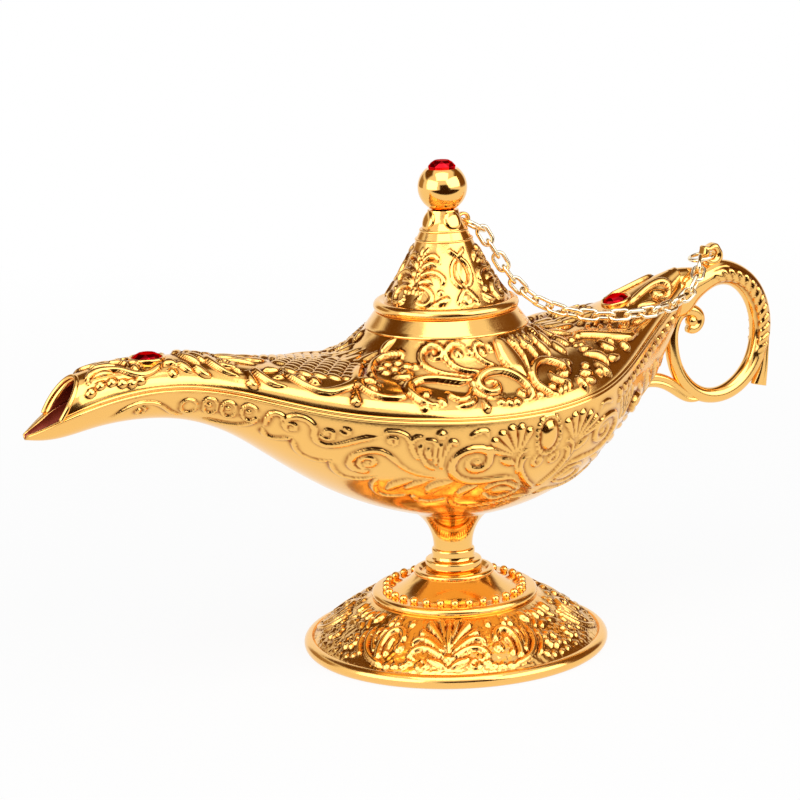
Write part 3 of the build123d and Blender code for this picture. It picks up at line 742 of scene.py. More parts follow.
def carve_spout_underside(c):
    c.stroke([(-93, 4.2), (-88, 2.5), (-84, 2.6), (-81, 4), (-78, 6.5), (-75.5, 7.5)], 0.5)
    c.curl((-86.3, 4.4), 1.3, -60, 1.0, 0.4)
    c.ring((-74.5, 4.5), 1.9, 1.9, 0.36)
    for u, v in ((-69.5, 4.1), (-65.3, 4.3), (-60.8, 4.2)):
        c.ring((u, v), 1.6, 2.1, 0.36)
        c.bead((u - 0.3, v - 0.3), 0.65)
    c.stroke([(-70, 8.8), (-65, 9.2), (-60.5, 7.4), (-58.7, 4.7)], 0.5)
    c.stroke([(-57.4, 7), (-57, 4.5), (-55.5, 2.6), (-54.1, 2.9), (-54.4, 4.4)], 0.55)
    c.curl((-52, 5.2), 1.4, 90, 1.3, 0.5)
    c.stroke([(-53.8, 5.4), (-53.2, 3.6), (-51.5, 2.4), (-49.5, 2.3), (-47.9, 3.4), (-47.3, 5.4),
              (-46.8, 7.2), (-45, 8.2), (-42.6, 7.7), (-39, 5.8), (-36, 4.6), (-33.4, 4)], 0.75, 0.55)
    c.curl((-44.6, 5), 1.7, 190, -1.3, 0.5)
    c.curl((-41, 3.5), 1.1, 180, -1.0, 0.45)
    c.stroke([(-20.4, 15), (-25, 13.8), (-28.4, 11.6), (-31.2, 9), (-33.6, 7.8), (-36, 8.1), (-38.2, 9.6),
              (-38.9, 12), (-37.6, 14.2), (-35.4, 14.6)], 0.85, 0.65, shape=club_back)
    c.curl((-35.3, 11.5), 2.1, 70, 1.4, 0.6, 0.55)
    c.curl((-31.3, 4.9), 1.3, 100, -1.2, 0.45)
    c.stroke([(-33.2, 4), (-32.4, 3), (-30.5, 2.7), (-28.5, 3.3), (-27.3, 4.8), (-26.7, 6.6), (-25.6, 8.6),
              (-24.2, 10.3)], 0.6, 0.5)
    c.stroke([(-26.8, 5.2), (-25.9, 3.9), (-24.7, 3.7)], 0.6, 0.5)


def carve_bowl_side(c):
    c.stroke([(-24.4, 5.2), (-24.9, 7), (-24.2, 9), (-22.6, 11.2), (-20.4, 12.7)], 0.55, 0.55)
    c.stroke([(-24.4, 5.2), (-22.8, 4.5), (-21.3, 5.3), (-21.4, 7.4), (-21.2, 9.2), (-20.4, 11.8)], 0.5, 0.5)
    c.stroke([(-23, 6), (-23, 7.8), (-21.8, 10)], 0.8, 0.55, petal)
    c.bead((-20.2, 3.3), 1.2, 0.8)
    c.stroke([(-20, 5), (-20, 9), (-19.2, 12.6)], 0.5, 0.5)
    c.stroke([(-18.8, 12.6), (-19.2, 9), (-18.6, 6.6), (-17.5, 4.9), (-16.8, 5.4)], 0.7, 0.6, club)
    for rib, wide in (([(-28.6, 21.8), (-27.6, 18.4), (-24.4, 16.1)], 1.3),
                      ([(-25.4, 20.4), (-24, 18), (-21.4, 16.7)], 1.1),
                      ([(-19.6, 22.2), (-19.4, 19), (-15.4, 16.8)], 1.5),
                      ([(-12.2, 23.6), (-12, 20.6), (-8.6, 18)], 1.2)):
        c.stroke(rib, wide, 0.7, petal)
    c.stroke([(2, 18.5), (0, 16.9), (-3.6, 16.3), (-8, 16.7), (-12, 16.4), (-14.9, 15), (-16.7, 12.6),
              (-16.6, 10), (-15, 8), (-12.4, 7.1), (-10, 7.2), (-8.2, 8.2), (-7.7, 10), (-8.5, 12.2),
              (-10.5, 12.9), (-12.6, 12.1), (-13.2, 10.5), (-12.2, 9.2), (-10.8, 9.1)], 0.95, 0.7)
    c.bead((-10.7, 10.8), 1.0, 0.7)
    c.stroke([(-13.6, 4.2), (-11, 2.8), (-8.9, 3.1), (-8.9, 4.4)], 0.55, 0.5)
    for end in ((-8, 7.6), (-6.9, 5.6), (-4.9, 4), (-2.3, 3), (0.3, 3), (2.5, 4)):
        start = (-0.3 + 0.22 * (end[0] + 0.3), 10 + 0.22 * (end[1] - 10))
        c.stroke([start, end], 1.1, 0.7, club)
    c.stroke([(-5.2, 10.3), (-3, 11.1), (-0.4, 12.5)], 1.1, 0.65, petal)
    c.stroke([(3.4, 10.6), (2, 10.9), (1.2, 12.2), (1.8, 14.6), (3.5, 17.4), (5.5, 19.8), (8.1, 22.4)], 0.7,
             0.65)
    c.stroke([(3.4, 8.8), (1.4, 8.9), (0, 10.6), (0.1, 13), (1.4, 16)], 0.5, 0.5)
    c.curl((6.0, 12.5), 1.7, -90, -1.3, 0.55, 0.55)
    c.stroke([(-6.6, 21), (-5, 18.7), (-2.4, 18), (0.6, 19.4), (3.4, 21.4)], 0.6, 0.6)
    c.stroke([(-6.6, 21), (-5, 23.2), (-2, 24.1), (1, 22.9), (3.4, 21.4)], 0.6, 0.6)
    c.stroke([(-4.6, 21), (-1.4, 20.8), (2.2, 21.4)], 1.5, 0.65, petal)
    c.strokes(SCALLOPS, 0.55, 0.55)


def carve_bowl_oval(c):
    c.bead((BOWL_MIDDLE, 5.9), 2.5, 1.5, squash=1.55)
    for k in range(20):
        a = 2 * math.pi * k / 20
        c.bead((BOWL_MIDDLE + 3.4 * math.cos(a), 5.9 + 4.9 * math.sin(a)), 0.72, 0.75)


def carve_tail_underside(c):
    for k in range(13):
        u = 33.5 + 2.5 * k
        c.stroke([(u - 0.8, 2.0), (u + 1.1, 4.6)], 0.95, 0.7, petal)
    for u in (47.5, 52, 56.5):
        c.stroke([(u - 1.8, 8), (u + 0.6, 12), (u + 1, 16)], 1.5, 0.7, petal)
    c.curl((44.5, 12.2), 2.5, 60, 1.3, 0.9, 1.3)
    for k in range(6):
        c.bead((49 + 2.2 * k, 7.4 + 0.7 * k), 0.75)


# %% Carve the lower shell
lower, below_rim = lower_net()
compare("lower_shell", lower)
lower_u = lower[:, :, 0]
bowl_carving = Carving(lower_u, below_rim, twin=BOWL_MIDDLE, boost=1.3)
carve_bowl_side(bowl_carving)
bowl_carving.apron(APRON_EDGE, 0.28)
lower_carving = Carving(lower_u, below_rim, boost=1.3)
carve_spout_underside(lower_carving)
carve_bowl_oval(lower_carving)
carve_tail_underside(lower_carving)
lower_height = np.maximum(bowl_carving.height, lower_carving.height).reshape(below_rim.shape)
lower_normal = net_normals(lower)
if lower_normal[LOWER_ROWS // 2, LOWER_COLUMNS // 2, 2] > 0:
    lower_normal = -lower_normal
lower_wall = np.minimum(WALL, 0.4 * half_width(lower_u))
carved_shell("lower_shell_carved", lower, lower_normal, lower_height, lower_wall, "lower_shell")

# %% [markdown]
# ## The cover
# The cover starts at the slanting mouth, rises to a round collar under the lid and runs out over the
# tail. Its skin is the higher of two forms, the half-round hull and a flare under the collar, melted
# together where they meet. Near the collar the rows and columns of the net bend round a circle, which
# leaves a clean round hole that the collar covers.

# %% Lay the cover net
COVER_ROWS, COVER_COLUMNS = 199, 424
COLLAR_FOOT, FLARE_DROP = 82.8, 16.0
BAND_RADIUS, FLARE_ALONG, FLARE_ACROSS = 20.0, 38.0, 31.5
FLARE_END_X, FLARE_END_Y, FLARE_FALL = 40, 34, 30
COVER_ROUND, COVER_MELT = 0.43, 2.5
ARC_STATIONS, ARC_STEPS = 360, 240
HOLE_RADIUS, CARVING_STOPS = 19.0, 20.2
MOUTH_CORNER, MOUTH_CORNER_Z, MOUTH_SLANT = -105.6, 74.0, math.radians(55.5)
FLARE_SHARES = [(0, 0, 0), (0.14, 0.12, 0.14), (0.29, 0.32, 0.31), (0.44, 0.61, 0.50), (0.63, 0.89, 0.70),
                (1, 1, 1), (1.4, 1.1, 1.2)]


def flare_height(x, y):
    """Height of the flare's skin over a place, found by halving."""
    shares = np.array(FLARE_SHARES)
    along, across = spline(shares[:, 0], shares[:, 1]), spline(shares[:, 0], shares[:, 2])
    low, high = np.zeros(np.shape(x)), np.full(np.shape(x), 1.4)
    for _ in range(24):
        down = 0.5 * (low + high)
        a = BAND_RADIUS + along(down) * (FLARE_ALONG - BAND_RADIUS)
        b = BAND_RADIUS + across(down) * (FLARE_ACROSS - BAND_RADIUS)
        inside = (x / a) ** 2 + (y / b) ** 2 < 1
        high = np.where(inside, down, high)
        low = np.where(inside, low, down)
    far = np.maximum(np.hypot(x / FLARE_END_X, y / FLARE_END_Y) - 1, 0)
    return COLLAR_FOOT - low * FLARE_DROP - FLARE_FALL * far


def cover_height(x, y):
    """Height of the cover's skin over a place."""
    share = np.clip(1 - (y / half_width(x)) ** 2, 0, 1)
    hull = rim_height(x) + (crown_height(x) - rim_height(x)) * share ** COVER_ROUND
    flare = flare_height(x, y)
    mix = np.clip(0.5 + 0.5 * (hull - flare) / COVER_MELT, 0, 1)
    fade = np.clip(share / 0.25, 0, 1)
    return np.where(fade > 0, mix * hull + (1 - mix) * flare + fade * COVER_MELT * mix * (1 - mix), hull)


def mouth_x(t):
    """Where the slanting mouth cuts each line of the cover that runs along the spout."""
    x = np.full(np.shape(t), MOUTH_CORNER)
    for _ in range(40):
        z = rim_height(x) + (crown_height(x) - rim_height(x)) * np.sin(t)
        x = 0.5 * x + 0.5 * (MOUTH_CORNER + (z - MOUTH_CORNER_Z) / math.tan(MOUTH_SLANT))
    return x


def row_turns():
    """Turns of the rows from rim to rim, set so that they are evenly spaced on the widest section."""
    t = np.linspace(0, math.pi, 2001)
    y = -HULL_LINES[:, 1].max() * np.cos(t)
    z = cover_height(np.zeros(len(t)), y)
    arc = section_lengths(y[:, None], z[:, None])[:, 0]
    return np.interp(np.linspace(0, arc[-1], COVER_ROWS), arc, t)


def cover_plan():
    """Places of the net's points on plan, with a round hole, and the block of cells to leave out."""
    t = row_turns()
    start = mouth_x(t)
    share = np.linspace(0, 1, COVER_COLUMNS)[None, :]
    x = start[:, None] + (TAIL_END - start[:, None]) * share
    c = np.cos(t)[:, None] * np.ones_like(x)
    y = -half_width(x) * c
    block_x, block_c = 34.0, 0.90
    middle_row = x[COVER_ROWS // 2]
    left, right = (int(np.argmin(np.abs(middle_row - s * 0.5 * block_x))) // EVERY * EVERY for s in (-1, 1))
    low = int(np.argmin(np.abs(np.cos(t) - 0.5 * block_c))) // EVERY * EVERY
    hole = (low, COVER_ROWS - 1 - low, left, right)
    centre = 0.5 * (middle_row[left] + middle_row[right])
    half_x, half_c = 0.5 * (middle_row[right] - middle_row[left]), abs(math.cos(t[low]))
    px = x - centre
    inner_reach = np.maximum(np.abs(px) / half_x, np.abs(c) / half_c)
    outer_reach = np.maximum(np.abs(px) / block_x, np.abs(c) / block_c)
    safe = np.maximum(outer_reach, 1e-6)
    rim_x = centre + px / safe
    rim_y = -half_width(rim_x) * c / safe
    length = np.maximum(np.hypot(rim_x, rim_y), 1e-6)
    ring_x, ring_y = HOLE_RADIUS * rim_x / length, HOLE_RADIUS * rim_y / length
    edge = outer_reach / np.maximum(inner_reach, 1e-6)
    mix = np.clip((outer_reach - edge) / np.maximum(1 - edge, 1e-6), 0, 1)
    bent = outer_reach < 1
    x = np.where(bent, ring_x + mix * (rim_x - ring_x), x)
    y = np.where(bent, ring_y + mix * (rim_y - ring_y), y)
    return x, y, hole


def cover_arc(x, y):
    """Distance of each place above the rim, along the skin and square to the lamp."""
    stations = np.linspace(MOUTH_CORNER, TAIL_END, ARC_STATIONS)
    t = np.linspace(0, 0.5 * math.pi, ARC_STEPS + 1)[:, None]
    ys = -half_width(stations) * np.cos(t)
    zs = cover_height(np.broadcast_to(stations, ys.shape), ys)
    arc = section_lengths(ys, zs)
    turn = np.arccos(np.clip(np.abs(y) / half_width(x), 0, 1)) / (0.5 * math.pi) * ARC_STEPS
    place = (x - stations[0]) / (stations[1] - stations[0])
    r = np.clip(turn.astype(int), 0, ARC_STEPS - 1)
    s = np.clip(place.astype(int), 0, ARC_STATIONS - 2)
    fr, fs = turn - r, place - s
    near_side = (1 - fs) * arc[r, s] + fs * arc[r, s + 1]
    far_side = (1 - fs) * arc[r + 1, s] + fs * arc[r + 1, s + 1]
    return (1 - fr) * near_side + fr * far_side


# %% [markdown]
# ### What is carved on the cover
# Places are in millimetres, along the lamp and up from the rim, and the far side is like the near one.

# %% Draw the cover carving
def carve_spout_cover(c):
    c.beads([(-98, 3.5), (-95.4, 4.4), (-92.6, 4.3), (-90.2, 3.4), (-88, 2.9), (-85.8, 3.2)], 1.15, 0.75)
    c.stroke([(-98, 5.5), (-97.6, 7.2), (-95.5, 8.4), (-92.5, 8), (-90, 7), (-87.5, 5.2), (-85, 4.3),
              (-82.5, 4.8), (-80, 6.5), (-78.2, 7.7)], 0.75, 0.65)
    c.stroke([(-96.6, 6.5), (-94.5, 7.1), (-91.5, 6.2)], 0.8, 0.6, petal)
    c.stroke([(-95.5, 10.4), (-92.5, 10), (-90, 9)], 1.0, 0.6, petal)
    c.stroke([(-91, 10.9), (-88.6, 10.4), (-87.4, 8.6)], 0.7, 0.55)
    c.bead((-86.1, 6.7), 1.0, 0.8, squash=1.6)
    c.ring((-86.1, 6.9), 1.7, 2.3, 0.45)
    c.stroke([(-79, 6.2), (-77.4, 7.4), (-76.2, 5.6)], 1.1, 0.7, petal)
    c.bead((-77.8, 4.0), 1.0, squash=1.3)
    c.strokes([[(-75.4, 7.6), (-74.4, 5.4), (-73.2, 4.0)], [(-72, 6.4), (-70.9, 4.4), (-69.2, 3.2)],
               [(-74, 11.5), (-71.5, 9), (-70.6, 6.8)], [(-71, 13), (-69.6, 10.6), (-69, 8)]], 1.25, 0.75,
              petal)
    c.stroke([(-66.2, 14), (-67.2, 10.8), (-67, 7.6), (-65.4, 5.6), (-62.6, 4.8)], 1.2, 0.75, petal)
    c.curl((-64, 9.4), 1.9, 200, 1.3, 0.6, 0.6)
    c.stroke([(-61.4, 6.3), (-62.4, 8.4), (-61, 10.8)], 0.5)
    c.stroke([(-59.3, 7.6), (-59.8, 3.4)], 1.25, 0.75, club)
    c.stroke([(-56.6, 10.6), (-57.2, 7.2), (-55.4, 5), (-52.6, 4.9)], 1.2, 0.75, petal)
    c.stroke([(-55.2, 9.6), (-53.4, 11.2), (-51.4, 11.8)], 0.9, 0.65, petal)
    c.stroke([(-53.8, 7.4), (-52.2, 8.6), (-51.4, 10.6)], 0.5)
    c.stroke([(-62, 12.6), (-58.5, 13.4), (-55.5, 13)], 0.9, 0.6, petal)
    c.stroke([(-50.6, 13), (-50, 9.6), (-48, 6.8), (-45, 5.6), (-41.5, 6.8), (-38.5, 8.8), (-35.6, 11.8),
              (-33.4, 16), (-31.2, 20), (-28.8, 24.6)], 1.0, 0.75)
    c.strokes([[(-64, 14), (-60, 15), (-55.6, 16.4)], [(-58.4, 15.4), (-54.6, 17), (-51.4, 18.8)]], 1.1, 0.65,
              petal)
    c.stroke([(-45.8, 7.9), (-44.3, 11)], 1.1, 0.75, petal)
    c.stroke([(-48, 11.4), (-47.2, 8.8)], 0.7, 0.6, petal)
    c.stroke([(-36.9, 8.0), (-38.3, 4.0)], 1.05, 0.75, club)
    for row in range(8):
        for k in range(7):
            u, v = -48.6 + 3.1 * k + 1.55 * (row % 2), 13.4 + 2.6 * row
            if u < -36 + 0.55 * (v - 12):
                c.bead((u, v), 1.6, 0.75, squash=1.1)


def carve_bowl_cover(c):
    c.stroke([(-30.4, 11.2), (-31.4, 12.9), (-33.3, 12.9), (-34.8, 11), (-34.9, 9), (-33.5, 6.9), (-31, 6.0),
              (-28, 6.4), (-25.3, 8.2)], 0.85, 0.7)
    c.bead((-32.7, 9.7), 1.3, 0.8, squash=1.25)
    c.stroke([(-20.4, 4.4), (-22.6, 4.7), (-24.2, 6.4), (-24.6, 9.4), (-23.4, 11.8), (-21, 13.4), (-18, 13.6),
              (-14, 12.4), (-11, 11.6), (-8.6, 11.8)], 1.05, 0.8)
    c.stroke([(-22.4, 6.6), (-20.2, 9.4)], 0.9, 0.6, petal)
    c.stroke([(-16.2, 8.6), (-15.6, 6.6), (-14, 5.7), (-12, 6.3), (-10.2, 8), (-9.2, 9.8)], 0.6, 0.6)
    c.stroke([(-15.6, 3.6), (-13.4, 4), (-11.4, 4.9), (-9.8, 6.6)], 0.75, 0.65, petal)
    c.bead((-24.3, 12.8), 1.05, squash=1.3)
    c.bead((-23.4, 3.4), 0.9, squash=0.8)
    c.bead((-18.8, 5.2), 0.95, squash=1.2)
    c.bead((-19.2, 18.6), 0.9, squash=1.2)
    c.stroke([(-25.5, 15.8), (-22.5, 15.2), (-21, 17)], 1.1, 0.7, petal)
    c.bead((-23.6, 19.4), 1.1, 0.7)
    for k in range(7):
        a = 2 * math.pi * k / 7
        c.bead((-23.6 + 2.6 * math.cos(a), 19.4 + 2.7 * math.sin(a)), 1.15, 0.75)
    c.stroke([(-30, 14.5), (-29.4, 18), (-27.4, 22), (-24.6, 25.4), (-21.6, 25.8), (-19.8, 24),
              (-20.6, 22.4)], 0.75, 0.65)
    c.stroke([(-28.2, 23.6), (-26.6, 20.8)], 0.9, 0.6, petal)
    for line, wide in (([(-33.6, 25.6), (-30, 28), (-25.6, 31.2)], 1.3),
                       ([(-31.6, 29.4), (-28, 31.2), (-24, 33.6)], 1.2),
                       ([(-28.8, 25.4), (-26.4, 27.6), (-23, 29.2)], 1.1),
                       ([(-22.6, 27.6), (-20.4, 29.6), (-18.6, 30.2)], 0.9),
                       ([(-35.6, 27.4), (-33.4, 29), (-30.8, 31)], 0.9)):
        c.stroke(line, wide, 0.65, petal)
    c.stroke([(-8.6, 12.6), (-12, 13.4), (-15, 14.8), (-17.1, 17.6), (-17.1, 20.6), (-15.6, 22.9),
              (-13.6, 23.5), (-12.2, 22), (-12.6, 20.1), (-14, 19.3), (-15, 20.5), (-14.1, 21.4)], 0.6, 0.6)
    c.stroke([(-5, 13.6), (-8, 13.9), (-10.5, 15.2), (-11.7, 17.6), (-11.5, 20.4), (-10, 22.1), (-8.2, 22.4),
              (-7.2, 21.2)], 0.6, 0.6)
    c.stroke([(-1.2, 14.5), (-3.2, 15.6), (-4.6, 17.6), (-4.7, 20), (-3.5, 21.3), (-2.2, 20.7)], 0.55, 0.55)
    c.beads([(-9.0, 19.4), (-6.3, 19.2), (-3.3, 18.8), (-0.9, 19.6)], 0.85, 0.7, squash=1.5)
    c.stroke([(2.3, 22.2), (3.2, 16.5), (5.7, 9.8)], 2.8, 1.0, petal)
    c.stroke([(3.6, 22), (6.9, 18.6), (7.6, 15), (6.2, 10)], 0.45, 0.7)
    for u, v in ((6.9, 21.0), (9.2, 20.9), (11.4, 21.6), (13.6, 22.4)):
        c.stroke([(u - 0.5, v + 1.3), (u + 0.4, v - 1.2)], 1.05, 0.75, club)
    for u, v, wide in ((10.9, 17.6, 0.8), (15.4, 18.2, 1.3), (18.2, 21.6, 1.2), (21.0, 18.2, 1.5),
                       (24.4, 20.8, 1.4)):
        c.stroke([(u - 1.4, v + 3.4), (u + 0.2, v + 0.4), (u + 0.8, v - 2.8)], wide, 0.75, petal)
    c.strokes([[(12.5, 26.5), (15, 24.2), (16.6, 21.4)], [(16.5, 27.5), (19, 25.2), (20.6, 22.4)],
               [(20.5, 28), (23.4, 25.2), (25, 22)], [(24.5, 28.4), (27.6, 25.6), (29.6, 22.8)]], 1.2, 0.75,
              petal)
    c.stroke([(2.6, 3.7), (4.6, 4.6), (5.1, 7), (4.2, 9.6), (1.6, 12.2), (-2, 13.3), (-5.4, 12.7),
              (-7.3, 10.8), (-7.3, 8.9), (-5.9, 7.6), (-4, 7.7), (-2.9, 9), (-3.4, 10.4), (-4.7, 10.4)], 0.95,
             0.85)
    c.stroke([(-8.8, 10.6), (-8.9, 8), (-7.3, 6.1), (-4.8, 5.6), (-2.6, 6.6)], 0.8, 0.65, tail)
    c.curl((2.5, 6.1), 1.0, 0, 1.1, 0.45, 0.5)
    c.beads([(-4.0, 4.1), (-2.0, 3.8), (0.0, 3.8), (7.0, 4.6)], 1.05, 0.75)
    c.stroke([(-8.6, 5.4), (-8.5, 3.0)], 1.0, 0.7, club)
    c.stroke([(11.6, 3.6), (9, 5.3), (7.7, 8), (7.9, 11), (9.5, 13.4), (12, 14.5), (15, 14.1), (17.4, 12.6),
              (18.4, 10.6), (17.6, 8.9), (16.2, 8.7), (15.4, 9.8), (16, 10.8)], 0.9, 0.85)
    c.stroke([(13.2, 11), (13.3, 8.6), (15, 6.9), (16.8, 6.4)], 1.0, 0.7, petal)
    c.bead((11.4, 6.2), 1.05, 0.75)
    for u, v in ((13.0, 4.6), (14.5, 5.0), (16.0, 5.4)):
        c.stroke([(u - 0.5, v - 1.2), (u + 0.5, v + 1.1)], 0.75, 0.65, petal)
    c.strokes([[(18.2, 13.2), (20.8, 11.5)], [(19, 6.8), (20.6, 2.2)], [(21, 7.4), (24.2, 5.4)],
               [(20.8, 5), (24, 3.3)], [(23.2, 9.4), (24.4, 7.4)]], 0.95, 0.75, petal)


def carve_tail_cover(c):
    for line, wide in (([(26.1, 6.2), (27.1, 3.6)], 0.7), ([(26.9, 8.4), (28, 5.5), (30.2, 2.4)], 1.0),
                       ([(26, 12.8), (28.6, 10.6), (30.4, 8), (30.8, 4.8)], 1.15),
                       ([(31.2, 7.7), (33, 6), (35.8, 4.6)], 0.9), ([(26.4, 14.8), (29.5, 12.6)], 0.95),
                       ([(33.2, 13.6), (34, 10), (36.1, 6.9)], 1.1), ([(35.3, 12.2), (36.8, 8.4)], 0.6),
                       ([(38.7, 7.7), (40.6, 3.6)], 0.95), ([(27, 21), (28.4, 18.6)], 1.0),
                       ([(29.6, 21), (31, 18.4)], 0.9)):
        c.stroke(line, wide, 0.75, petal)
    for line, wide in (([(26.5, 33.4), (30, 31.2), (33.4, 28.4)], 1.3),
                       ([(31.6, 30.6), (35.4, 27.8), (38.6, 25.2)], 1.2),
                       ([(27.6, 29.4), (31, 27.4), (34, 24.6)], 1.2),
                       ([(36.6, 26.4), (40, 24), (43.2, 21.4)], 1.1), ([(34.6, 24.2), (37.6, 22.4)], 0.9),
                       ([(24.2, 32), (25.6, 30)], 0.9)):
        c.stroke(line, wide, 0.65, petal)
    c.beads([(40.6, 21), (43.8, 19.2), (27.3, 17.1), (28.9, 16.2)], 1.0)
    c.stroke([(29.6, 23), (31.2, 20), (33.5, 17), (36.5, 13), (40, 9), (43.5, 6.1), (46.4, 4.8)], 1.15, 0.85)
    c.stroke([(33.2, 21.2), (34.6, 18.2), (37.2, 14.4), (41, 9.8), (44.5, 7), (48, 5.8)], 0.65, 0.65)
    c.beads([(36.2, 20.2), (38.2, 16.2), (40.2, 13.6)], 1.1)
    c.strokes([[(38, 20), (39.6, 17.4)], [(40.6, 18.4), (42, 15.4), (44.4, 12.6)],
               [(43, 18.4), (44.6, 15.8)]], 1.0, 0.7, petal)
    c.curl((44.6, 10), 1.9, 120, 1.3, 0.6, 0.65)
    c.stroke([(47, 8.6), (49.6, 6.6), (52.4, 5.4)], 0.8, 0.6, petal)
    c.stroke([(50.4, 12.8), (55, 11.8), (59.5, 10.4), (62.6, 8), (63.3, 5.4), (61.6, 4.3), (60.2, 5.2)], 0.8,
             0.75)
    c.stroke([(57.6, 9.3), (59.4, 6.6), (62, 5)], 1.1, 0.75, petal)
    c.stroke([(52, 9.8), (55.6, 7), (58.4, 4.6)], 0.9, 0.65, petal)
    c.stroke([(54, 5.6), (57, 3.8), (60.4, 2.6)], 0.7, 0.55, petal)


# %% Carve the cover
cover_x, cover_y, cover_hole = cover_plan()
cover = np.stack([cover_x, cover_y, cover_height(cover_x, cover_y)], axis=2)
compare("upper_shell", cover)
cover_carving = Carving(cover_x, cover_arc(cover_x, cover_y), boost=1.4)
carve_spout_cover(cover_carving)
carve_bowl_cover(cover_carving)
carve_tail_cover(cover_carving)
cover_raised = cover_carving.height.reshape(cover_x.shape)
cover_raised *= np.clip((np.hypot(cover_x, cover_y) - CARVING_STOPS) / 0.8, 0, 1)
cover_normal = net_normals(cover)
if cover_normal[COVER_ROWS // 2, 30, 2] < 0:
    cover_normal = -cover_normal
cover_wall = np.minimum(WALL, 0.3 * half_width(cover_x))
carved_shell("cover_carved", cover, cover_normal, cover_raised, cover_wall, "upper_shell", cover_hole)

# %% [markdown]
# ## Turned pieces
# The collar, the foot, the nut, the stem, the lid and the ball were all turned or cast round. Each is a
# closed profile of radius and height that goes once round the axis. Blender's Screw modifier could do it,
# but an own net lets the carving of the foot and the lid be raised on it.

# %% Turn a profile
def profile_line(parts, step):
    """One closed loop of points from pieces of profile, each already smooth, set about a step apart."""
    loop = []
    for part in parts:
        part = np.asarray(part, float)
        for a, b in zip(part, part[1:]):
            count = max(1, int(round(np.hypot(*(b - a)) / step)))
            loop += [a + (b - a) * k / count for k in range(count)]
        loop.append(part[-1])
    kept = [loop[0]]
    for p in loop[1:]:
        if np.hypot(*(p - kept[-1])) > 1e-3:
            kept.append(p)
    if np.hypot(*(kept[0] - kept[-1])) < 1e-3:
        kept.pop()
    return np.array(kept)


def arc_of(start, middle, end, count=12):
    """Points on the circle through three points of a profile."""
    (ax, ay), (bx, by), (cx, cy) = start, middle, end
    d = 2 * (ax * (by - cy) + bx * (cy - ay) + cx * (ay - by))
    aa, bb, cc = ax * ax + ay * ay, bx * bx + by * by, cx * cx + cy * cy
    ux = (aa * (by - cy) + bb * (cy - ay) + cc * (ay - by)) / d
    uy = (aa * (cx - bx) + bb * (ax - cx) + cc * (bx - ax)) / d
    r = math.hypot(ax - ux, ay - uy)
    a0, a1, a2 = (math.atan2(y - uy, x - ux) for x, y in (start, middle, end))

    def turn(a):
        return (a - a0 + math.pi) % (2 * math.pi) - math.pi

    sweep = turn(a2)
    if not (min(0, sweep) <= turn(a1) <= max(0, sweep)):
        sweep -= math.copysign(2 * math.pi, sweep)
    a = a0 + sweep * np.linspace(0, 1, count)
    return np.stack([ux + r * np.cos(a), uy + r * np.sin(a)], axis=1)


def turned_net(loop, sides):
    """A net of the loop's points by sides round the axis, with the outward way at each point."""
    loop = np.asarray(loop)
    ahead = np.roll(loop, -1, axis=0) - np.roll(loop, 1, axis=0)
    out = np.stack([ahead[:, 1], -ahead[:, 0]], axis=1)
    out /= np.maximum(np.linalg.norm(out, axis=1, keepdims=True), 1e-9)
    area = 0.5 * np.sum(loop[:, 0] * np.roll(loop[:, 1], -1) - np.roll(loop[:, 0], -1) * loop[:, 1])
    out *= math.copysign(1, area)
    a = 2 * math.pi * np.arange(sides) / sides
    spin = np.stack([np.cos(a), np.sin(a)], axis=1)

    def spun(flat):
        heights = np.repeat(flat[:, None, 1:], sides, axis=1)
        return np.concatenate([flat[:, None, :1] * spin[None], heights], axis=2)

    return spun(loop), spun(out), a


def turned_piece(name, parts, sides, step, body, nodes, material, crease=35):
    loop = profile_line(parts, step)
    net, _, _ = turned_net(loop, sides)
    faces = grid_faces(*net.shape[:2], wrap_rows=True, wrap_columns=True)
    return make_piece(name, net.reshape(-1, 3), faces, body, "gilt_brass", material, nodes, crease)


def carved_turning(name, parts, band, middle, sides, carve, depth, body, node):
    """A turned piece with relief on one band of its profile, between the two parts that are given. carve
    gets millimetres along the band and round it, and gives the relief and the motifs that stand on it."""
    before, after = parts
    net, way, turns = turned_net(np.vstack([before[:-1], band, after[1:]]), sides)
    rows = slice(len(before) - 1, len(before) - 1 + len(band))
    around = ((turns - FRONT) % (2 * math.pi)) * middle
    along, around = np.meshgrid(running_length(band), around, indexing="ij")
    height, motifs = (h.reshape(along.shape) for h in carve(along, around))
    net[rows] += way[rows] * height[:, :, None]
    # Painted shade in the hollows round the band's motifs.
    hollow = np.zeros(net.shape[:2])
    hollow[rows] = hollows(motifs, depth)
    faces = grid_faces(*net.shape[:2], wrap_rows=True, wrap_columns=True)
    return make_piece(name, net.reshape(-1, 3), faces, body, "gilt_brass", GOLD, [node], crease=50,
                      hollow=hollow.ravel())


collar_profile = [
    [(18.4, 81.6), (20.1, 82.4)],
    arc_of((20.1, 82.4), (20.35, 82.75), (20.1, 83.1), 5),
    [(20.1, 83.1), (17.75, 86.3)],
    arc_of((17.75, 86.3), (17.6, 86.45), (17.4, 86.5), 4),
    [(17.4, 86.5), (15.5, 86.5), (15.5, 77.5), (16.8, 77.5), (17.2, 80.6), (18.4, 81.6)],
]
turned_piece("collar_band", collar_profile, 144, 0.8, "lamp", [], GOLD)

# %% [markdown]
# ## The rim
# Where the two shells meet there are two thin ribs, one on each shell. Each is a tube that follows the
# hull's rim line down one side and back along the other. A third tube rounds the edge of the spout's mouth.

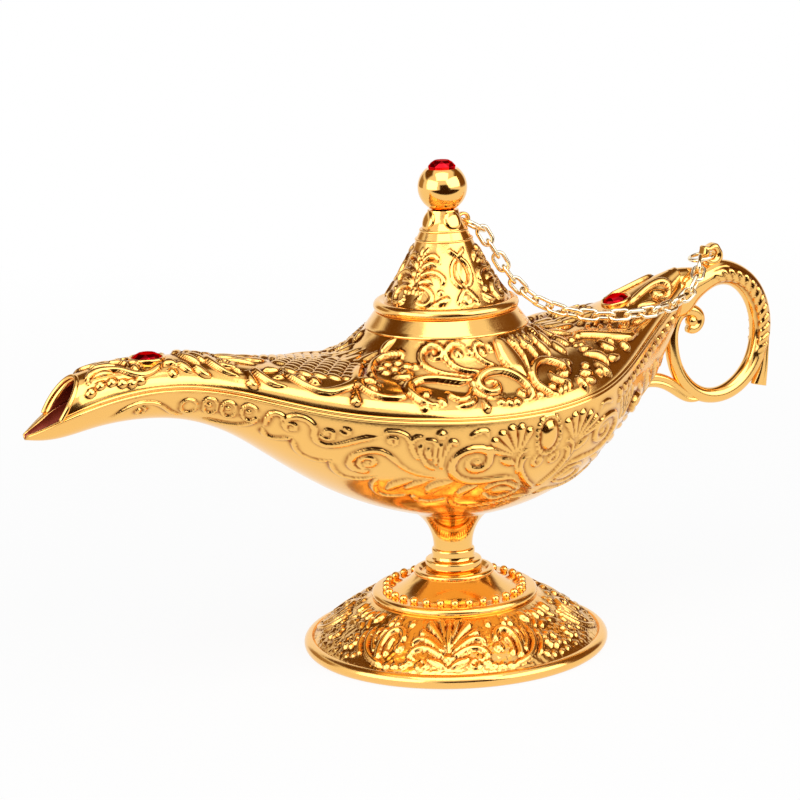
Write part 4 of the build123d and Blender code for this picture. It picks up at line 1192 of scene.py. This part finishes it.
# %% Run the ribs
def tube_net(line, radius, sides, closed=False):
    """Rings of points round a line, kept from twisting by carrying each ring's way on to the next."""
    line = np.asarray(line, float)
    if closed:
        ahead = np.roll(line, -1, axis=0) - np.roll(line, 1, axis=0)
    else:
        ahead = np.gradient(line, axis=0)
    ahead /= np.linalg.norm(ahead, axis=1, keepdims=True)
    side = np.cross(ahead[0], (0.0, 0.0, 1.0))
    if np.linalg.norm(side) < 0.1:
        side = np.cross(ahead[0], (0.0, 1.0, 0.0))
    a = 2 * math.pi * np.arange(sides) / sides
    rings = []
    for spot, way, r in zip(line, ahead, np.broadcast_to(radius, len(line))):
        side = side - way * (side @ way)
        side /= np.linalg.norm(side)
        up = np.cross(side, way)
        rings.append(spot + r * (np.cos(a)[:, None] * side + np.sin(a)[:, None] * up))
    return np.array(rings)


def capped(net):
    """Points and faces of a tube whose two ends are closed."""
    rings, sides = net.shape[:2]
    last = (rings - 1) * sides
    faces = grid_faces(rings, sides, wrap_columns=True)
    return net.reshape(-1, 3), faces + [list(range(sides)), list(range(last, last + sides))]


def tube_piece(name, line, radius, sides, body, slot, material, nodes=()):
    return make_piece(name, *capped(tube_net(line, radius, sides)), body, slot, material, nodes)


RIM_STATIONS = 240
RIB_RADIUS, RIB_TAPER = 0.42, 14


def rim_line(start, lift, proud):
    x = np.linspace(start, TAIL_END - 0.5, RIM_STATIONS)
    near = np.stack([x, -half_width(x) - proud, rim_height(x) + lift], axis=1)
    return np.vstack([near, (near * (1, -1, 1))[::-1]])


rib_count = np.arange(2 * RIM_STATIONS)
rib_share = np.minimum(rib_count, rib_count[::-1]) / RIB_TAPER
for name, start, lift, proud, thinnest in (("rim_rib_low", SPOUT_TIP + 0.3, -0.5, -0.05, 0.6),
                                           ("rim_rib_high", MOUTH_CORNER + 0.2, 0.5, 0.0, 0.3)):
    tube_piece(name, rim_line(start, lift, proud), RIB_RADIUS * np.clip(rib_share, thinnest, 1), 10, "lamp",
               "gilt_brass", POLISHED_GOLD)
mouth_turns = np.linspace(0.02, math.pi - 0.02, 80)
mouth_edge = mouth_x(mouth_turns)
mouth_y = -half_width(mouth_edge) * np.cos(mouth_turns)
mouth_lip = np.stack([mouth_edge, mouth_y, cover_height(mouth_edge, mouth_y) - 0.25], axis=1)
tube_piece("spout_lip", mouth_lip, 0.62, 12, "lamp", "gilt_brass", POLISHED_GOLD)

# %% [markdown]
# ## The foot
# The foot is a hollow casting with a rolled rim, a bulged skirt full of ornament, a ring of beads and a
# dished top. Its skirt repeats one design three times round: a palmette between two leafy scrolls, with
# a flower on each side, over a stippled ground.

# %% Draw the foot
FOOT_SIDES = 576
SKIRT_MIDDLE, SKIRT_LENGTH = 29.0, 17.5
STIPPLE, STIPPLE_SEED = 0.2, 5
SKIRT_LOW, SKIRT_HIGH = (36.2, 2.9), (21.2, 12.9)
skirt_line = arc_of(SKIRT_LOW, (29.05, 8.25), SKIRT_HIGH, 46)


def foot_parts():
    """The foot's profile up to its skirt, and from the skirt over the top and round the inside."""
    rim = arc_of((36.2, 0.05), (38.4, 1.75), (36.4, 3.5), 14)
    outside = profile_line([rim, [rim[-1], SKIRT_LOW]], 0.5)
    top = [
        [(21.2, 12.9), (20.6, 12.9)],
        arc_of((20.6, 12.9), (20.9, 13.9), (20.1, 14.9), 7),
        [(20.1, 14.9), (16.2, 14.9)],
        arc_of((16.2, 14.9), (12.7, 16.5), (9.9, 18.8), 12),
        arc_of((9.9, 18.8), (10.1, 19.6), (9.4, 20.1), 7),
        [(9.4, 20.1), (8.8, 20.1), (8.1, 19.1), (2.15, 19.1), (2.15, 8.1), (6.0, 8.1), (6.0, 12.9)],
        [(6.0, 12.9), (19.2, 10.9)],
        arc_of((19.2, 10.9), (27.05, 6.25), (34.2, 0.9), 12),
        [(34.2, 0.9), (34.2, 0.05), (36.2, 0.05)],
    ]
    return outside, profile_line(top, 1.2)


PALMETTE_LEFT = 2.3


def skirt_carving(along, around):
    """Relief of the skirt, over millimetres round it at mid height and along it from the rim up."""
    repeat = 2 * math.pi * SKIRT_MIDDLE / 3
    u = (around + PALMETTE_LEFT + 0.5 * repeat) % repeat - 0.5 * repeat
    c = Carving(u, along, twin=0.0, boost=1.25)
    c.stroke([(0, 7), (0, 17)], 1.0, 0.75, petal)
    c.stroke([(0.5, 9.6), (1.6, 13.4), (2.6, 17)], 1.1, 0.75, club)
    c.stroke([(0.8, 8.8), (3, 12.6), (5.6, 15.6)], 1.2, 0.75, club)
    c.stroke([(0.9, 7.8), (3.6, 10.8), (7.2, 12.8)], 1.1, 0.75, club)
    c.stroke([(0.9, 6.6), (3.4, 9.2), (6.2, 10.8), (8.6, 10.2), (9, 8.8)], 0.7, 0.7)
    c.stroke([(0.8, 5), (3, 7.2), (5.6, 8.2), (8, 7.4), (8.8, 5.8), (7.6, 4.6)], 0.7, 0.65)
    c.stroke([(0.3, 2), (2.6, 4), (5, 5)], 0.9, 0.65, petal)
    c.curl((5.8, 3.0), 1.4, 60, 1.2, 0.5)
    c.bead((0, 5.2), 1.0)
    c.beads([(9.6, 2.4), (11.4, 2.1), (13.2, 1.9), (8.6, 3.6)], 0.85)
    c.stroke([(15.6, 2.4), (16.8, 5.6), (17.3, 9.4), (16.6, 12), (14.8, 13.2), (12.9, 12.4), (12.1, 10.4),
              (12.6, 8.4)], 0.85, 0.75)
    c.stroke([(14.6, 4.6), (15.2, 8), (14.6, 10.8)], 0.6, 0.6)
    c.bead((12.0, 7.6), 1.2, squash=1.3)
    c.stroke([(13.6, 1.6), (18.4, 3.8), (21.6, 7.6), (22.6, 12)], 0.75, 0.7)
    c.stroke([(17.4, 4.8), (20, 8.6), (20.4, 12.6)], 0.6, 0.65)
    c.stroke([(17.8, 6.4), (18.8, 9.4), (18.4, 13)], 0.6, 0.6)
    c.stroke([(20.6, 3.2), (23.4, 6.6), (24.2, 10.6)], 0.6, 0.6)
    c.beads([(11.6, 15.4), (16.6, 15.0), (18.2, 16.2), (16.9, 17.0), (18.6, 14.6)], 1.0, squash=1.2)
    for k in range(8):
        a = 2 * math.pi * k / 8
        inner = (26.4 + 0.9 * math.cos(a), 6.2 + 0.9 * math.sin(a))
        outer = (26.4 + 2.5 * math.cos(a), 6.2 + 2.6 * math.sin(a))
        c.stroke([inner, outer], 0.75, 0.65, petal)
    c.bead((26.4, 6.2), 0.7, 0.6)
    c.beads([(22.6, 3.0), (24.2, 2.2), (26.4, 2.0), (28.6, 2.4), (29.4, 4.2)], 0.8)
    c.stroke([(24, 16.6), (24.8, 13.6)], 1.5, 0.8, petal)
    c.stroke([(27, 10.2), (28.6, 11.4), (30.3, 11.2)], 0.9, 0.6, petal)
    c.bead((29, 14.6), 1.3, squash=1.4)
    c.stroke([(27, 16.8), (26.6, 13), (25, 11)], 0.5, 0.5)
    rng = np.random.default_rng(STIPPLE_SEED)
    stipple = STIPPLE * rng.random(len(c.height))
    ground = np.clip(np.minimum(along.ravel(), SKIRT_LENGTH - along.ravel()) / 0.8, 0, 1)
    return np.maximum(c.height, stipple) * ground, c.height


# %% Turn the foot and set its beads
carved_turning("foot_carved", foot_parts(), skirt_line, SKIRT_MIDDLE, FOOT_SIDES, skirt_carving, 0.40, "lamp",
               "base_foot")


def ball_net(rows, columns):
    """Points and faces of a ball of radius 1, ring by ring from its foot to its top."""
    lat = np.linspace(-0.5 * math.pi, 0.5 * math.pi, rows)
    lon = 2 * math.pi * np.arange(columns) / columns
    turns = [(b, a) for b in lat for a in lon]
    points = [(math.cos(b) * math.cos(a), math.cos(b) * math.sin(a), math.sin(b)) for b, a in turns]
    return np.array(points), grid_faces(rows, columns, wrap_columns=True)


def bead_ring(name, count, ring_radius, height, bead_radius, body):
    """Small balls set side by side round the axis, as one piece."""
    ball, ball_faces = ball_net(11, 16)
    points, faces = [], []
    for k in range(count):
        a = 2 * math.pi * k / count
        spot = np.array((ring_radius * math.cos(a), ring_radius * math.sin(a), height))
        faces += (np.array(ball_faces) + k * len(ball)).tolist()
        points.append(spot + bead_radius * ball)
    return make_piece(name, np.vstack(points), faces, body, "gilt_brass", POLISHED_GOLD)


bead_ring("foot_bead_ring", 30, 17.2, 15.5, 1.05, "lamp")

# %% [markdown]
# ## Nut and stem
# A polished nut sits in the foot's dish, and a trumpet-shaped stem rises from it to the bowl. The top of
# the trumpet is trimmed to the bowl's underside: every point that would go into the bowl is set on it.

# %% Turn the nut and the stem
nut_profile = [
    [(2.15, 19.1), (6.9, 19.1), (7.1, 19.4), (7.1, 21.9)],
    arc_of((7.1, 21.9), (6.95, 22.4), (6.5, 22.6), 5),
    [(6.5, 22.6), (5.6, 22.7), (5.4, 23.0), (5.4, 24.7)],
    arc_of((5.4, 24.7), (5.3, 25.1), (4.95, 25.4), 5),
    [(4.95, 25.4), (2.15, 25.4), (2.15, 19.1)],
]
turned_piece("stem_nut", nut_profile, 72, 0.8, "lamp", ["stem_collar"], POLISHED_GOLD)


def keel_over(x, y):
    """Height of the bowl's underside over a place near the axis."""
    share = np.sqrt(np.clip(1 - (y / half_width(x)) ** 2, 0, 1))
    return rim_height(x) - (rim_height(x) - keel_height(x)) * share


stem_profile = profile_line([
    [(2.0, 31.4), (2.0, 25.4), (4.9, 25.4)],
    arc_of((4.9, 25.4), (7.1, 32.5), (13.5, 36.9), 24),
    [(13.5, 36.9), (12, 37.4), (8, 37.4), (4, 37.4), (0.01, 37.4)],
], 0.7)
stem_net, _, _ = turned_net(stem_profile, 96)
stem_net[:, :, 2] = np.minimum(stem_net[:, :, 2], keel_over(stem_net[:, :, 0], stem_net[:, :, 1]) + 0.05)
make_piece("stem_trumpet", stem_net.reshape(-1, 3), grid_faces(*stem_net.shape[:2], True, True), "lamp",
           "gilt_brass", POLISHED_GOLD, ["pedestal_stem"], crease=40)

# %% [markdown]
# ## The lid
# The lid is a hollow cone on a rolled flange, with two thin rolled rings round its top, a neck and a ball.
# Three beaded leaves go round the cone with framed petals between them. The neck carries three coins and
# the eye that takes the chain.

# %% Draw the lid
LID_SIDES = 288
CONE_MIDDLE = 11.2
cone_line = arc_of((15.4, 89.1), (10.7, 96.35), (7.0, 103.6), 44)


def lid_parts():
    """The lid's profile up to its cone, and from the cone over the top and round the inside."""
    flange = profile_line([
        [(13.6, 80.5), (15.2, 80.5), (15.2, 86.5), (17.3, 86.5)],
        arc_of((17.3, 86.5), (18.0, 87.67), (15.9, 89.1), 14),
        [(15.9, 89.1), (15.4, 89.1)],
    ], 0.7)
    top = profile_line([
        arc_of((7.0, 103.6), (7.2, 103.9), (6.75, 104.2), 6),
        [(6.75, 104.2), (5.9, 105.9)],
        arc_of((5.9, 105.9), (6.05, 106.2), (5.5, 106.5), 6),
        [(5.5, 106.5), (4.5, 108.4), (3.8, 111.1), (1.65, 111.1), (1.65, 106.1), (0.01, 106.1), (0.01, 102.0),
         (5.4, 102.0), (13.6, 86.5), (13.6, 80.5)],
    ], 0.7)
    return flange, top


ACANTHUS_LEFT = 7.6


def cone_carving(along, around):
    """Relief of the cone: three beaded acanthus leaves with a plain framed petal between each two."""
    repeat = 2 * math.pi * CONE_MIDDLE / 3
    u = (around + ACANTHUS_LEFT + 0.5 * repeat) % repeat - 0.5 * repeat
    c = Carving(u, along, twin=0.0, boost=1.15)
    edge = 0.5 * repeat
    c.stroke([(edge, 13.3), (edge - 2.1, 11.6), (edge - 2.6, 9.2), (edge - 1.9, 6.8), (edge, 4.9)], 0.5, 0.5)
    c.stroke([(edge, 12.2), (edge, 6.4)], 1.5, 0.55, petal)
    c.stroke([(edge, 4.9), (edge - 1.2, 3.2), (edge - 1.9, 0.9)], 0.5, 0.5)
    c.stroke([(edge, 3.4), (edge, 0.8)], 1.1, 0.5, petal)
    c.stroke([(edge, 13.3), (edge - 1.4, 14.4), (edge - 3, 15.2)], 0.5, 0.5)
    for k in range(7):
        c.bead((0, 7.8 + 1.05 * k), 0.5, 0.5)
    c.stroke([(0.2, 5.6), (2.2, 5.6), (4, 4.5), (4.6, 2.6), (3.4, 0.9), (1.8, 1.6), (2, 3)], 0.6, 0.6)
    c.beads([(0, 4.4), (1.0, 4.3), (2.0, 4.2)], 0.45, 0.5)
    c.stroke([(5.2, 1.2), (6.8, 1.8), (8, 3.2)], 0.9, 0.6, petal)
    c.stroke([(0.5, 6.2), (2.6, 7.2), (4.6, 6.6)], 0.9, 0.6, petal)
    c.stroke([(0.5, 8), (2.8, 9.4), (5.4, 9.2), (7, 7.6), (6.6, 6)], 0.65, 0.6)
    c.stroke([(0.5, 10), (2.6, 11.6), (5, 11.4)], 0.85, 0.6, petal)
    c.stroke([(0.5, 11.9), (2.2, 13.5), (4.4, 13.6), (6, 12.2)], 0.65, 0.6)
    c.stroke([(0.3, 13.6), (1.6, 15.2)], 0.7, 0.5, petal)
    c.bead((6.4, 4.4), 0.7)
    return c.height, c.height


# %% Turn the lid and set its coins
carved_turning("lid_carved", lid_parts(), cone_line, CONE_MIDDLE, LID_SIDES, cone_carving, 0.30, "lid",
               "lid_shell")
COIN_HALF, COIN_OUT, COIN_HEIGHT, COIN_LEAN = (0.9, 2.4, 2.5), 4.2, 108.7, 0.35
coin, coin_faces = ball_net(15, 24)
coin = coin * COIN_HALF
for turn in (90, 180, 270):
    a = math.radians(turn)
    out = np.array((math.cos(a), math.sin(a), 0.0))
    across = np.array((-out[1], out[0], 0.0))
    up = np.array((0.0, 0.0, 1.0)) - COIN_LEAN * out
    points = coin[:, :1] * out + coin[:, 1:2] * across + coin[:, 2:] * up
    points = points + COIN_OUT * out + (0, 0, COIN_HEIGHT)
    make_piece(f"lid_coin_{turn}", points, coin_faces, "lid", "gilt_brass", POLISHED_GOLD)

ball_profile = [
    [(0.01, 106.2), (1.6, 106.2), (1.6, 111.1), (2.6, 111.1)],
    arc_of((2.6, 111.1), (6.1, 116.6), (3.95, 121.2), 30),
    [(3.95, 121.2), (0.01, 121.2)],
]
turned_piece("finial_ball_polished", ball_profile, 72, 0.8, "lid", ["finial_ball"], POLISHED_GOLD)

# %% [markdown]
# ## Stones and their settings
# Each stone is a low brilliant: a girdle, a row of kite-shaped facets and a flat table. The facets have to
# stay flat, so the faces are shaded flat. The place and the tilt of a stone are read from its CAD node:
# the shortest way through it is its axis.

# %% Cut and set the stones
def node_points(node):
    return np.array([v.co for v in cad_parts[node].data.vertices]) / MM


def node_ways(points):
    """The long, middle and short ways of a cloud of points."""
    return np.linalg.svd(points - points.mean(axis=0), full_matrices=False)[2]


def stone_frame(node):
    points = node_points(node)
    ways = node_ways(points)
    up = ways[2] * math.copysign(1, ways[2][2])
    height = points @ up
    foot = points[height < height.min() + 0.05].mean(axis=0)
    side = np.cross((0, 1, 0), up)
    return foot, side / np.linalg.norm(side), up, float(np.ptp(height))


def placed(local, foot, side, up):
    local = np.asarray(local, float)
    return foot + local[:, :1] * side + local[:, 1:2] * np.cross(up, side) + local[:, 2:] * up


def cut_stone(name, node, radius, body):
    foot, side, up, height = stone_frame(node)
    count = 12
    levels = ((radius * 0.96, 0.0, 0), (radius, 0.30, 0), (0.80 * radius, 0.72, 0.5), (0.54 * radius, 1.0, 0))
    points = []
    for r, h, shift in levels:
        a = 2 * math.pi * (np.arange(count) + shift) / count
        points.append(np.stack([r * np.cos(a), r * np.sin(a), np.full(count, h * height)], axis=1))
    faces = grid_faces(2, count, wrap_columns=True)
    for k in range(count):
        n = (k + 1) % count
        low, mid, top = count, 2 * count, 3 * count
        faces += [[low + k, low + n, mid + k], [mid + k, low + n, mid + n], [mid + k, mid + n, top + n],
                  [mid + k, top + n, top + k]]
    faces += [list(range(count)), list(range(3 * count, 4 * count))]
    points = placed(np.vstack(points), foot, side, up)
    return make_piece(name, points, faces, body, "red_stone", RED_STONE, [node], crease=1)


def stone_setting(name, node, stone, inner):
    """A thin rolled cup that holds a stone of one radius."""
    foot, side, up, _ = stone_frame(stone)
    outer = inner + 0.75
    loop = profile_line([
        [(inner, 0.0), (inner, 0.8)],
        arc_of((inner, 0.8), (inner + 0.35, 1.1), (outer, 0.65), 7),
        [(outer, 0.65), (outer, -0.4), (inner, -0.4), (inner, 0.0)],
    ], 0.4)
    net, _, _ = turned_net(loop, 48)
    faces = grid_faces(*net.shape[:2], True, True)
    points = placed(net.reshape(-1, 3), foot, side, up)
    return make_piece(name, points, faces, "lamp", "gilt_brass", POLISHED_GOLD, [node])


cut_stone("spout_stone", "spout_gem", 3.85, "lamp")
cut_stone("tail_stone", "tail_gem", 3.4, "lamp")
cut_stone("finial_stone", "finial_gem", 3.4, "lid")
stone_setting("spout_stone_cup", "spout_bezel", "spout_gem", 3.7)
stone_setting("tail_stone_cup", "tail_bezel", "tail_gem", 3.3)

# %% [markdown]
# ## The handle
# The handle grows out of the tail, goes over the top, comes round as the grip and curls up into a volute.
# It lies in one plane, so each ring of its net needs only two sizes: across the lamp and in the plane. A
# row of overlapping leaf scales runs down each side of the grip and ends in a small fishtail, and a stay
# joins the foot of the loop to the bowl.

# %% Handle tools
LOOP_MIDDLE, LOOP_HALF, LOOP_LEAN = np.array((81.4, 69.4)), np.array((14.1, 16.3)), math.radians(7)


def loop_spot(turn, proud=0.0):
    """A place on the grip's leaning oval, or proud of it, clockwise from the top, as x and z."""
    a = math.radians(turn)
    spot = LOOP_HALF * (math.sin(a), math.cos(a))
    out = np.array((LOOP_HALF[1] * math.sin(a), LOOP_HALF[0] * math.cos(a)))
    spot = spot + proud * out / np.linalg.norm(out)
    lean = np.array([[math.cos(LOOP_LEAN), math.sin(LOOP_LEAN)], [-math.sin(LOOP_LEAN), math.cos(LOOP_LEAN)]])
    return LOOP_MIDDLE + lean @ spot


def volute_spots():
    start = loop_spot(280)
    eye = start + (5.6, 0)
    spots = []
    for step in range(1, 9):
        turned = 38 * step
        a = math.radians(180 - turned)
        radius = 2.8 * (1 + max(0, 1 - turned / 90) - 0.3 * step / 8)
        spots.append(eye + radius * np.array((math.cos(a), math.sin(a))))
    return spots, eye


def plane_tube(line, thick, wide, sides):
    """Rings round a line in the lamp's middle plane. thick is in the plane and wide is across it."""
    line = np.asarray(line)
    ahead = np.gradient(line, axis=0)
    ahead /= np.linalg.norm(ahead, axis=1, keepdims=True)
    out = np.stack([-ahead[:, 1], ahead[:, 0]], axis=1)
    a = 2 * math.pi * np.arange(sides) / sides
    net = np.zeros((len(line), sides, 3))
    net[:, :, 0] = line[:, :1] + thick[:, None] * np.cos(a) * out[:, :1]
    net[:, :, 2] = line[:, 1:] + thick[:, None] * np.cos(a) * out[:, 1:]
    net[:, :, 1] = wide[:, None] * np.sin(a)
    return net, a


def bent_bar(spots, thick, wide, rings, sides):
    """Rings along a smooth line through spots, the line, its lengths, the spots' lengths and the turns."""
    spots = np.array(spots)
    chord = running_length(spots)
    along = np.linspace(0, chord[-1], rings)
    line = np.stack([spline(chord, spots[:, k])(along) for k in range(2)], axis=1)
    net, a = plane_tube(line, spline(chord, thick)(along), spline(chord, wide)(along), sides)
    return net, line, along, chord, a


# %% Bend the handle
SCALE_PITCH, SCALE_HEIGHT = 2.5, 0.85


def bend_grip():
    turns = (-8, 15, 38, 60, 82, 104, 126, 148, 170, 192, 214, 236, 258, 280)
    curl, eye = volute_spots()
    spots = [(65, 80.9), (68.8, 81.8), (72.3, 83.1), (76.3, 84.3)] + [loop_spot(a) for a in turns] + curl
    thick = [5.4, 6.7, 5.5, 3.8, 3.4, 3.1, 3.1, 3.1, 3.0, 2.7, 2.4, 2.3, 2.1, 2.0, 2.0, 1.9, 1.8, 1.8]
    wide = [3.2, 4.1, 3.8, 3.3, 2.9, 2.8, 2.7, 2.6, 2.5, 2.4, 2.4, 2.3, 2.1, 2.0, 2.0, 1.9, 1.8, 1.8]
    thin = [1.8, 1.75, 1.7, 1.65, 1.6, 1.55, 1.45, 1.3]
    net, line, along, chord, a = bent_bar(spots, thick + thin, wide + thin, 380, 44)
    start, end = chord[3] + 2, chord[9] + 2
    across = np.abs(np.sin(a))[None, :]
    inward = -np.cos(a)[None, :]
    bow = 2.6 * np.clip(inward + 0.5, 0, 1.5) ** 1.3
    phase = (along[:, None] - start - bow) / SCALE_PITCH
    step = phase % 1
    scale = np.minimum(step / 0.2, 1.1 * (1 - 0.9 * step))
    band = np.clip((along - start) / 4, 0, 1) * np.clip((end - along) / 4, 0, 1)
    zone = np.clip((across - 0.35) / 0.2, 0, 1) * np.clip((inward + 0.42) / 0.12, 0, 1)
    zone = zone * np.clip((0.65 - inward) / 0.25, 0, 1)
    raised = SCALE_HEIGHT * band[:, None] * zone * np.sqrt(np.clip(scale, 0, 1))
    middle = np.concatenate([line[:, :1], np.zeros((len(line), 1)), line[:, 1:]], axis=1)[:, None, :]
    way = net - middle
    net = net + way / np.linalg.norm(way, axis=2, keepdims=True) * raised[:, :, None]
    return net, raised, eye


grip_net, grip_raised, volute_eye = bend_grip()
# The grip's hollow attribute paints shade between its leaf scales.
make_piece("handle_grip", *capped(grip_net), "lamp", "gilt_brass", POLISHED_GOLD, ["handle"],
           hollow=hollows(grip_raised, 0.2).ravel())
ball, ball_faces = ball_net(13, 20)
make_piece("volute_eye", (volute_eye[0], 0, volute_eye[1]) + 1.7 * ball, ball_faces, "lamp", "gilt_brass",
           POLISHED_GOLD)


def flat_bar(name, spots, thick, wide, groove=0.0):
    net, _, _, _, a = bent_bar(spots, thick, wide, 70, 28)
    net[:, :, 1] *= 1 - groove * np.exp(-(np.cos(a) / 0.35) ** 2)
    return make_piece(name, *capped(net), "lamp", "gilt_brass", POLISHED_GOLD)


tail_edge = loop_spot(90, 2.5)
FISHTAIL = [(-1.2, 4), (-1.2, 0), (-1.5, -4), (-1.9, -8.5), (-2.9, -13.4)]
flat_bar("handle_fishtail", [tail_edge + spot for spot in FISHTAIL],
         [0.9, 1.1, 1.3, 1.6, 2.4], [1.8, 2.2, 2.1, 1.9, 1.5], 0.3)
flat_bar("handle_stay", [(53.6, 58.9), (59.5, 60.0), (64.5, 58.9), (69, 56), (73, 53.6), loop_spot(188)],
         [2.2, 2.0, 1.9, 1.7, 1.4, 1.0], [1.9, 1.8, 1.8, 1.7, 1.5, 1.2], 0.35)

# %% [markdown]
# ## Eyes, rings and chain
# The chain hangs between an eye on the lid and a lug on the handle's neck. Its links are oval wire rings,
# each turned a quarter from the last, spaced evenly along a line that rests on the near side of the cover, as
# in the photo. The line's two ends hook the rings. The chain is made as three lengths.

# %% Make the eyes and the rings
def eye_piece(name, eye, hole, outline, half, root, body, nodes=()):
    """A rounded plate on a tapered root, pierced across the lamp. Its outline is given as turns and radii."""
    loop = profile_line([
        [(0, -0.6), (0, 0.6)],
        arc_of((0, 0.6), (0.5, 1), (1, 0.4), 9),
        arc_of((1, 0.4), (1.02, 0), (1, -0.4), 5),
        arc_of((1, -0.4), (0.5, -1), (0, -0.6), 9),
    ], 0.2)
    sides = 48
    a = 2 * math.pi * np.arange(sides) / sides
    turns, radii = np.array(outline).T
    edge = np.interp(np.degrees(a), turns, radii, period=360)
    edge = (np.roll(edge, 1) + 2 * edge + np.roll(edge, -1)) / 4
    share, rise = np.array(loop).T
    out = hole + share[:, None] * (edge - hole)
    across = np.broadcast_to(half * rise[:, None], out.shape)
    net = np.stack([out * np.cos(a), across, out * np.sin(a)], axis=2)
    points = net.reshape(-1, 3) + np.asarray(eye)
    faces = grid_faces(*net.shape[:2], True, True)
    thick = np.linspace(0.7, 1.1, 7) * float(np.median(radii))
    foot, _ = plane_tube(np.linspace((eye[0], eye[2]), (root[0], root[2]), 10)[3:], thick,
                         np.linspace(0.8, 1.1, 7) * half, 20)
    more, more_faces = capped(foot)
    faces += [[i + len(points) for i in f] for f in more_faces]
    return make_piece(name, np.vstack([points, more]), faces, body, "gilt_brass", POLISHED_GOLD, nodes)


LUG_OUTLINE = [(30, 2.8), (63, 3.1), (100, 2.3), (122, 2.4), (138, 3.6), (150, 2.9), (187, 2.9), (215, 2.9),
               (270, 2.8), (311, 3.4), (334, 3.5)]
eye_piece("handle_lug_eye", (79.8, 0, 90.9), 1.1, LUG_OUTLINE, 1.7, (79.6, 0, 86.0), "lamp", ["handle_lug"])
eye_piece("lid_eye", (5.5, 0, 108.0), 1.1, [(0, 1.9), (180, 1.9)], 0.8, (3.4, 0, 107.6), "lid")


def wire_ring(name, node, radius, wire, body):
    """A jump ring, bent from wire with its ends nearly touching."""
    points = node_points(node)
    ways = node_ways(points)
    a = np.linspace(0, 2 * math.pi - 0.10, 72)
    line = points.mean(axis=0) + radius * (np.cos(a)[:, None] * ways[0] + np.sin(a)[:, None] * ways[1])
    return tube_piece(name, line, wire, 12, body, "chain_brass", CHAIN_GOLD, [node])


wire_ring("lid_jump_ring", "lid_ring", 3.2, 0.5, "lid_ring")
wire_ring("handle_jump_ring", "handle_ring", 3.0, 0.5, "handle_ring")

# %% Hang the chain
CHAIN_LINE = [(10.9, 0, 104.6), (15.5, -1, 96.5), (20, -1.5, 90), (26, -3, 85), (32.5, -6.5, 82.2),
              (39.5, -11, 81.2), (47, -13.5, 81.2), (54.5, -13, 81.2), (61.5, -10.5, 81.7),
              (66, -9, 83), (70, -7.3, 86), (75, -2.3, 90)]
CHAIN_HOOK = 1.5
CHAIN_LEAN = 50
CHAIN_LOOK = 8
LINKS = 21
LINK_LONG, LINK_WIDE, LINK_WIRE = 6.2, 3.8, 0.5


def link_net(spot, ahead, turn):
    """One oval ring of wire that lies along the chain, turned about it."""
    level = np.cross(ahead, (0.0, 0.0, 1.0))
    level /= np.linalg.norm(level)
    side = math.cos(turn) * level + math.sin(turn) * np.cross(level, ahead)
    bend = 0.5 * LINK_WIDE - LINK_WIRE
    a = np.radians(np.linspace(-90, 90, 15))
    right = np.stack([0.5 * (LINK_LONG - LINK_WIDE) + bend * np.cos(a), bend * np.sin(a)], axis=1)
    oval = np.vstack([right, -right])
    return tube_net(spot + oval[:, :1] * ahead + oval[:, 1:] * side, LINK_WIRE, 10, closed=True)


def make_chain(name, first, last):
    """Links first to last, as one piece."""
    points, faces = [], []
    for k in range(first, last + 1):
        here = link_places[k]
        before, after = max(here - CHAIN_LOOK, 0), min(here + CHAIN_LOOK, len(chain_line) - 1)
        ahead = chain_line[after] - chain_line[before]
        turn = 90 + 90 * k - CHAIN_LEAN * math.sin(math.pi * k / (LINKS - 1))
        net = link_net(chain_line[here], ahead / np.linalg.norm(ahead), math.radians(turn))
        faces += grid_faces(*net.shape[:2], True, True, first=len(points) * net.shape[0] * net.shape[1])
        points.append(net.reshape(-1, 3))
    mesh = bpy.data.meshes.new(name)
    mesh.from_pydata((np.vstack(points) * MM).tolist(), [], faces)
    mesh.polygons.foreach_set("use_smooth", np.ones(len(mesh.polygons), bool))
    mesh.attributes.new("hollow", "FLOAT", "POINT")
    mesh.materials.append(CHAIN_GOLD)
    chain = bpy.data.objects.new(name, mesh)
    scene.collection.objects.link(chain)
    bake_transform(chain)
    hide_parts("chain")
    return chain


chain_line = line_through(CHAIN_LINE, 0.05)
chain_length = running_length(chain_line)
link_lengths = np.linspace(CHAIN_HOOK, chain_length[-1] - CHAIN_HOOK, LINKS)
link_places = [int(np.argmin(np.abs(chain_length - s))) for s in link_lengths]
LID_END, HANDLE_END = 3, 17
make_chain("chain_lid_end", 0, LID_END - 1)
make_chain("chain_links", LID_END, HANDLE_END - 1)
make_chain("chain_handle_end", HANDLE_END, LINKS - 1)
print("chain of", LINKS, "links,", round(np.ptp(link_lengths) + LINK_LONG, 1), "mm from end to end")

# %% [markdown]
# ## What is left of the CAD
# The washer and the screw under the foot are right as they are, and only need their steel.

# %% Finish the fixings
for node in ("base_washer", "base_screw"):
    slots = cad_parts[node].data.materials
    slots.clear()
    slots.append(STEEL)
    print(node, "in", STEEL.name)
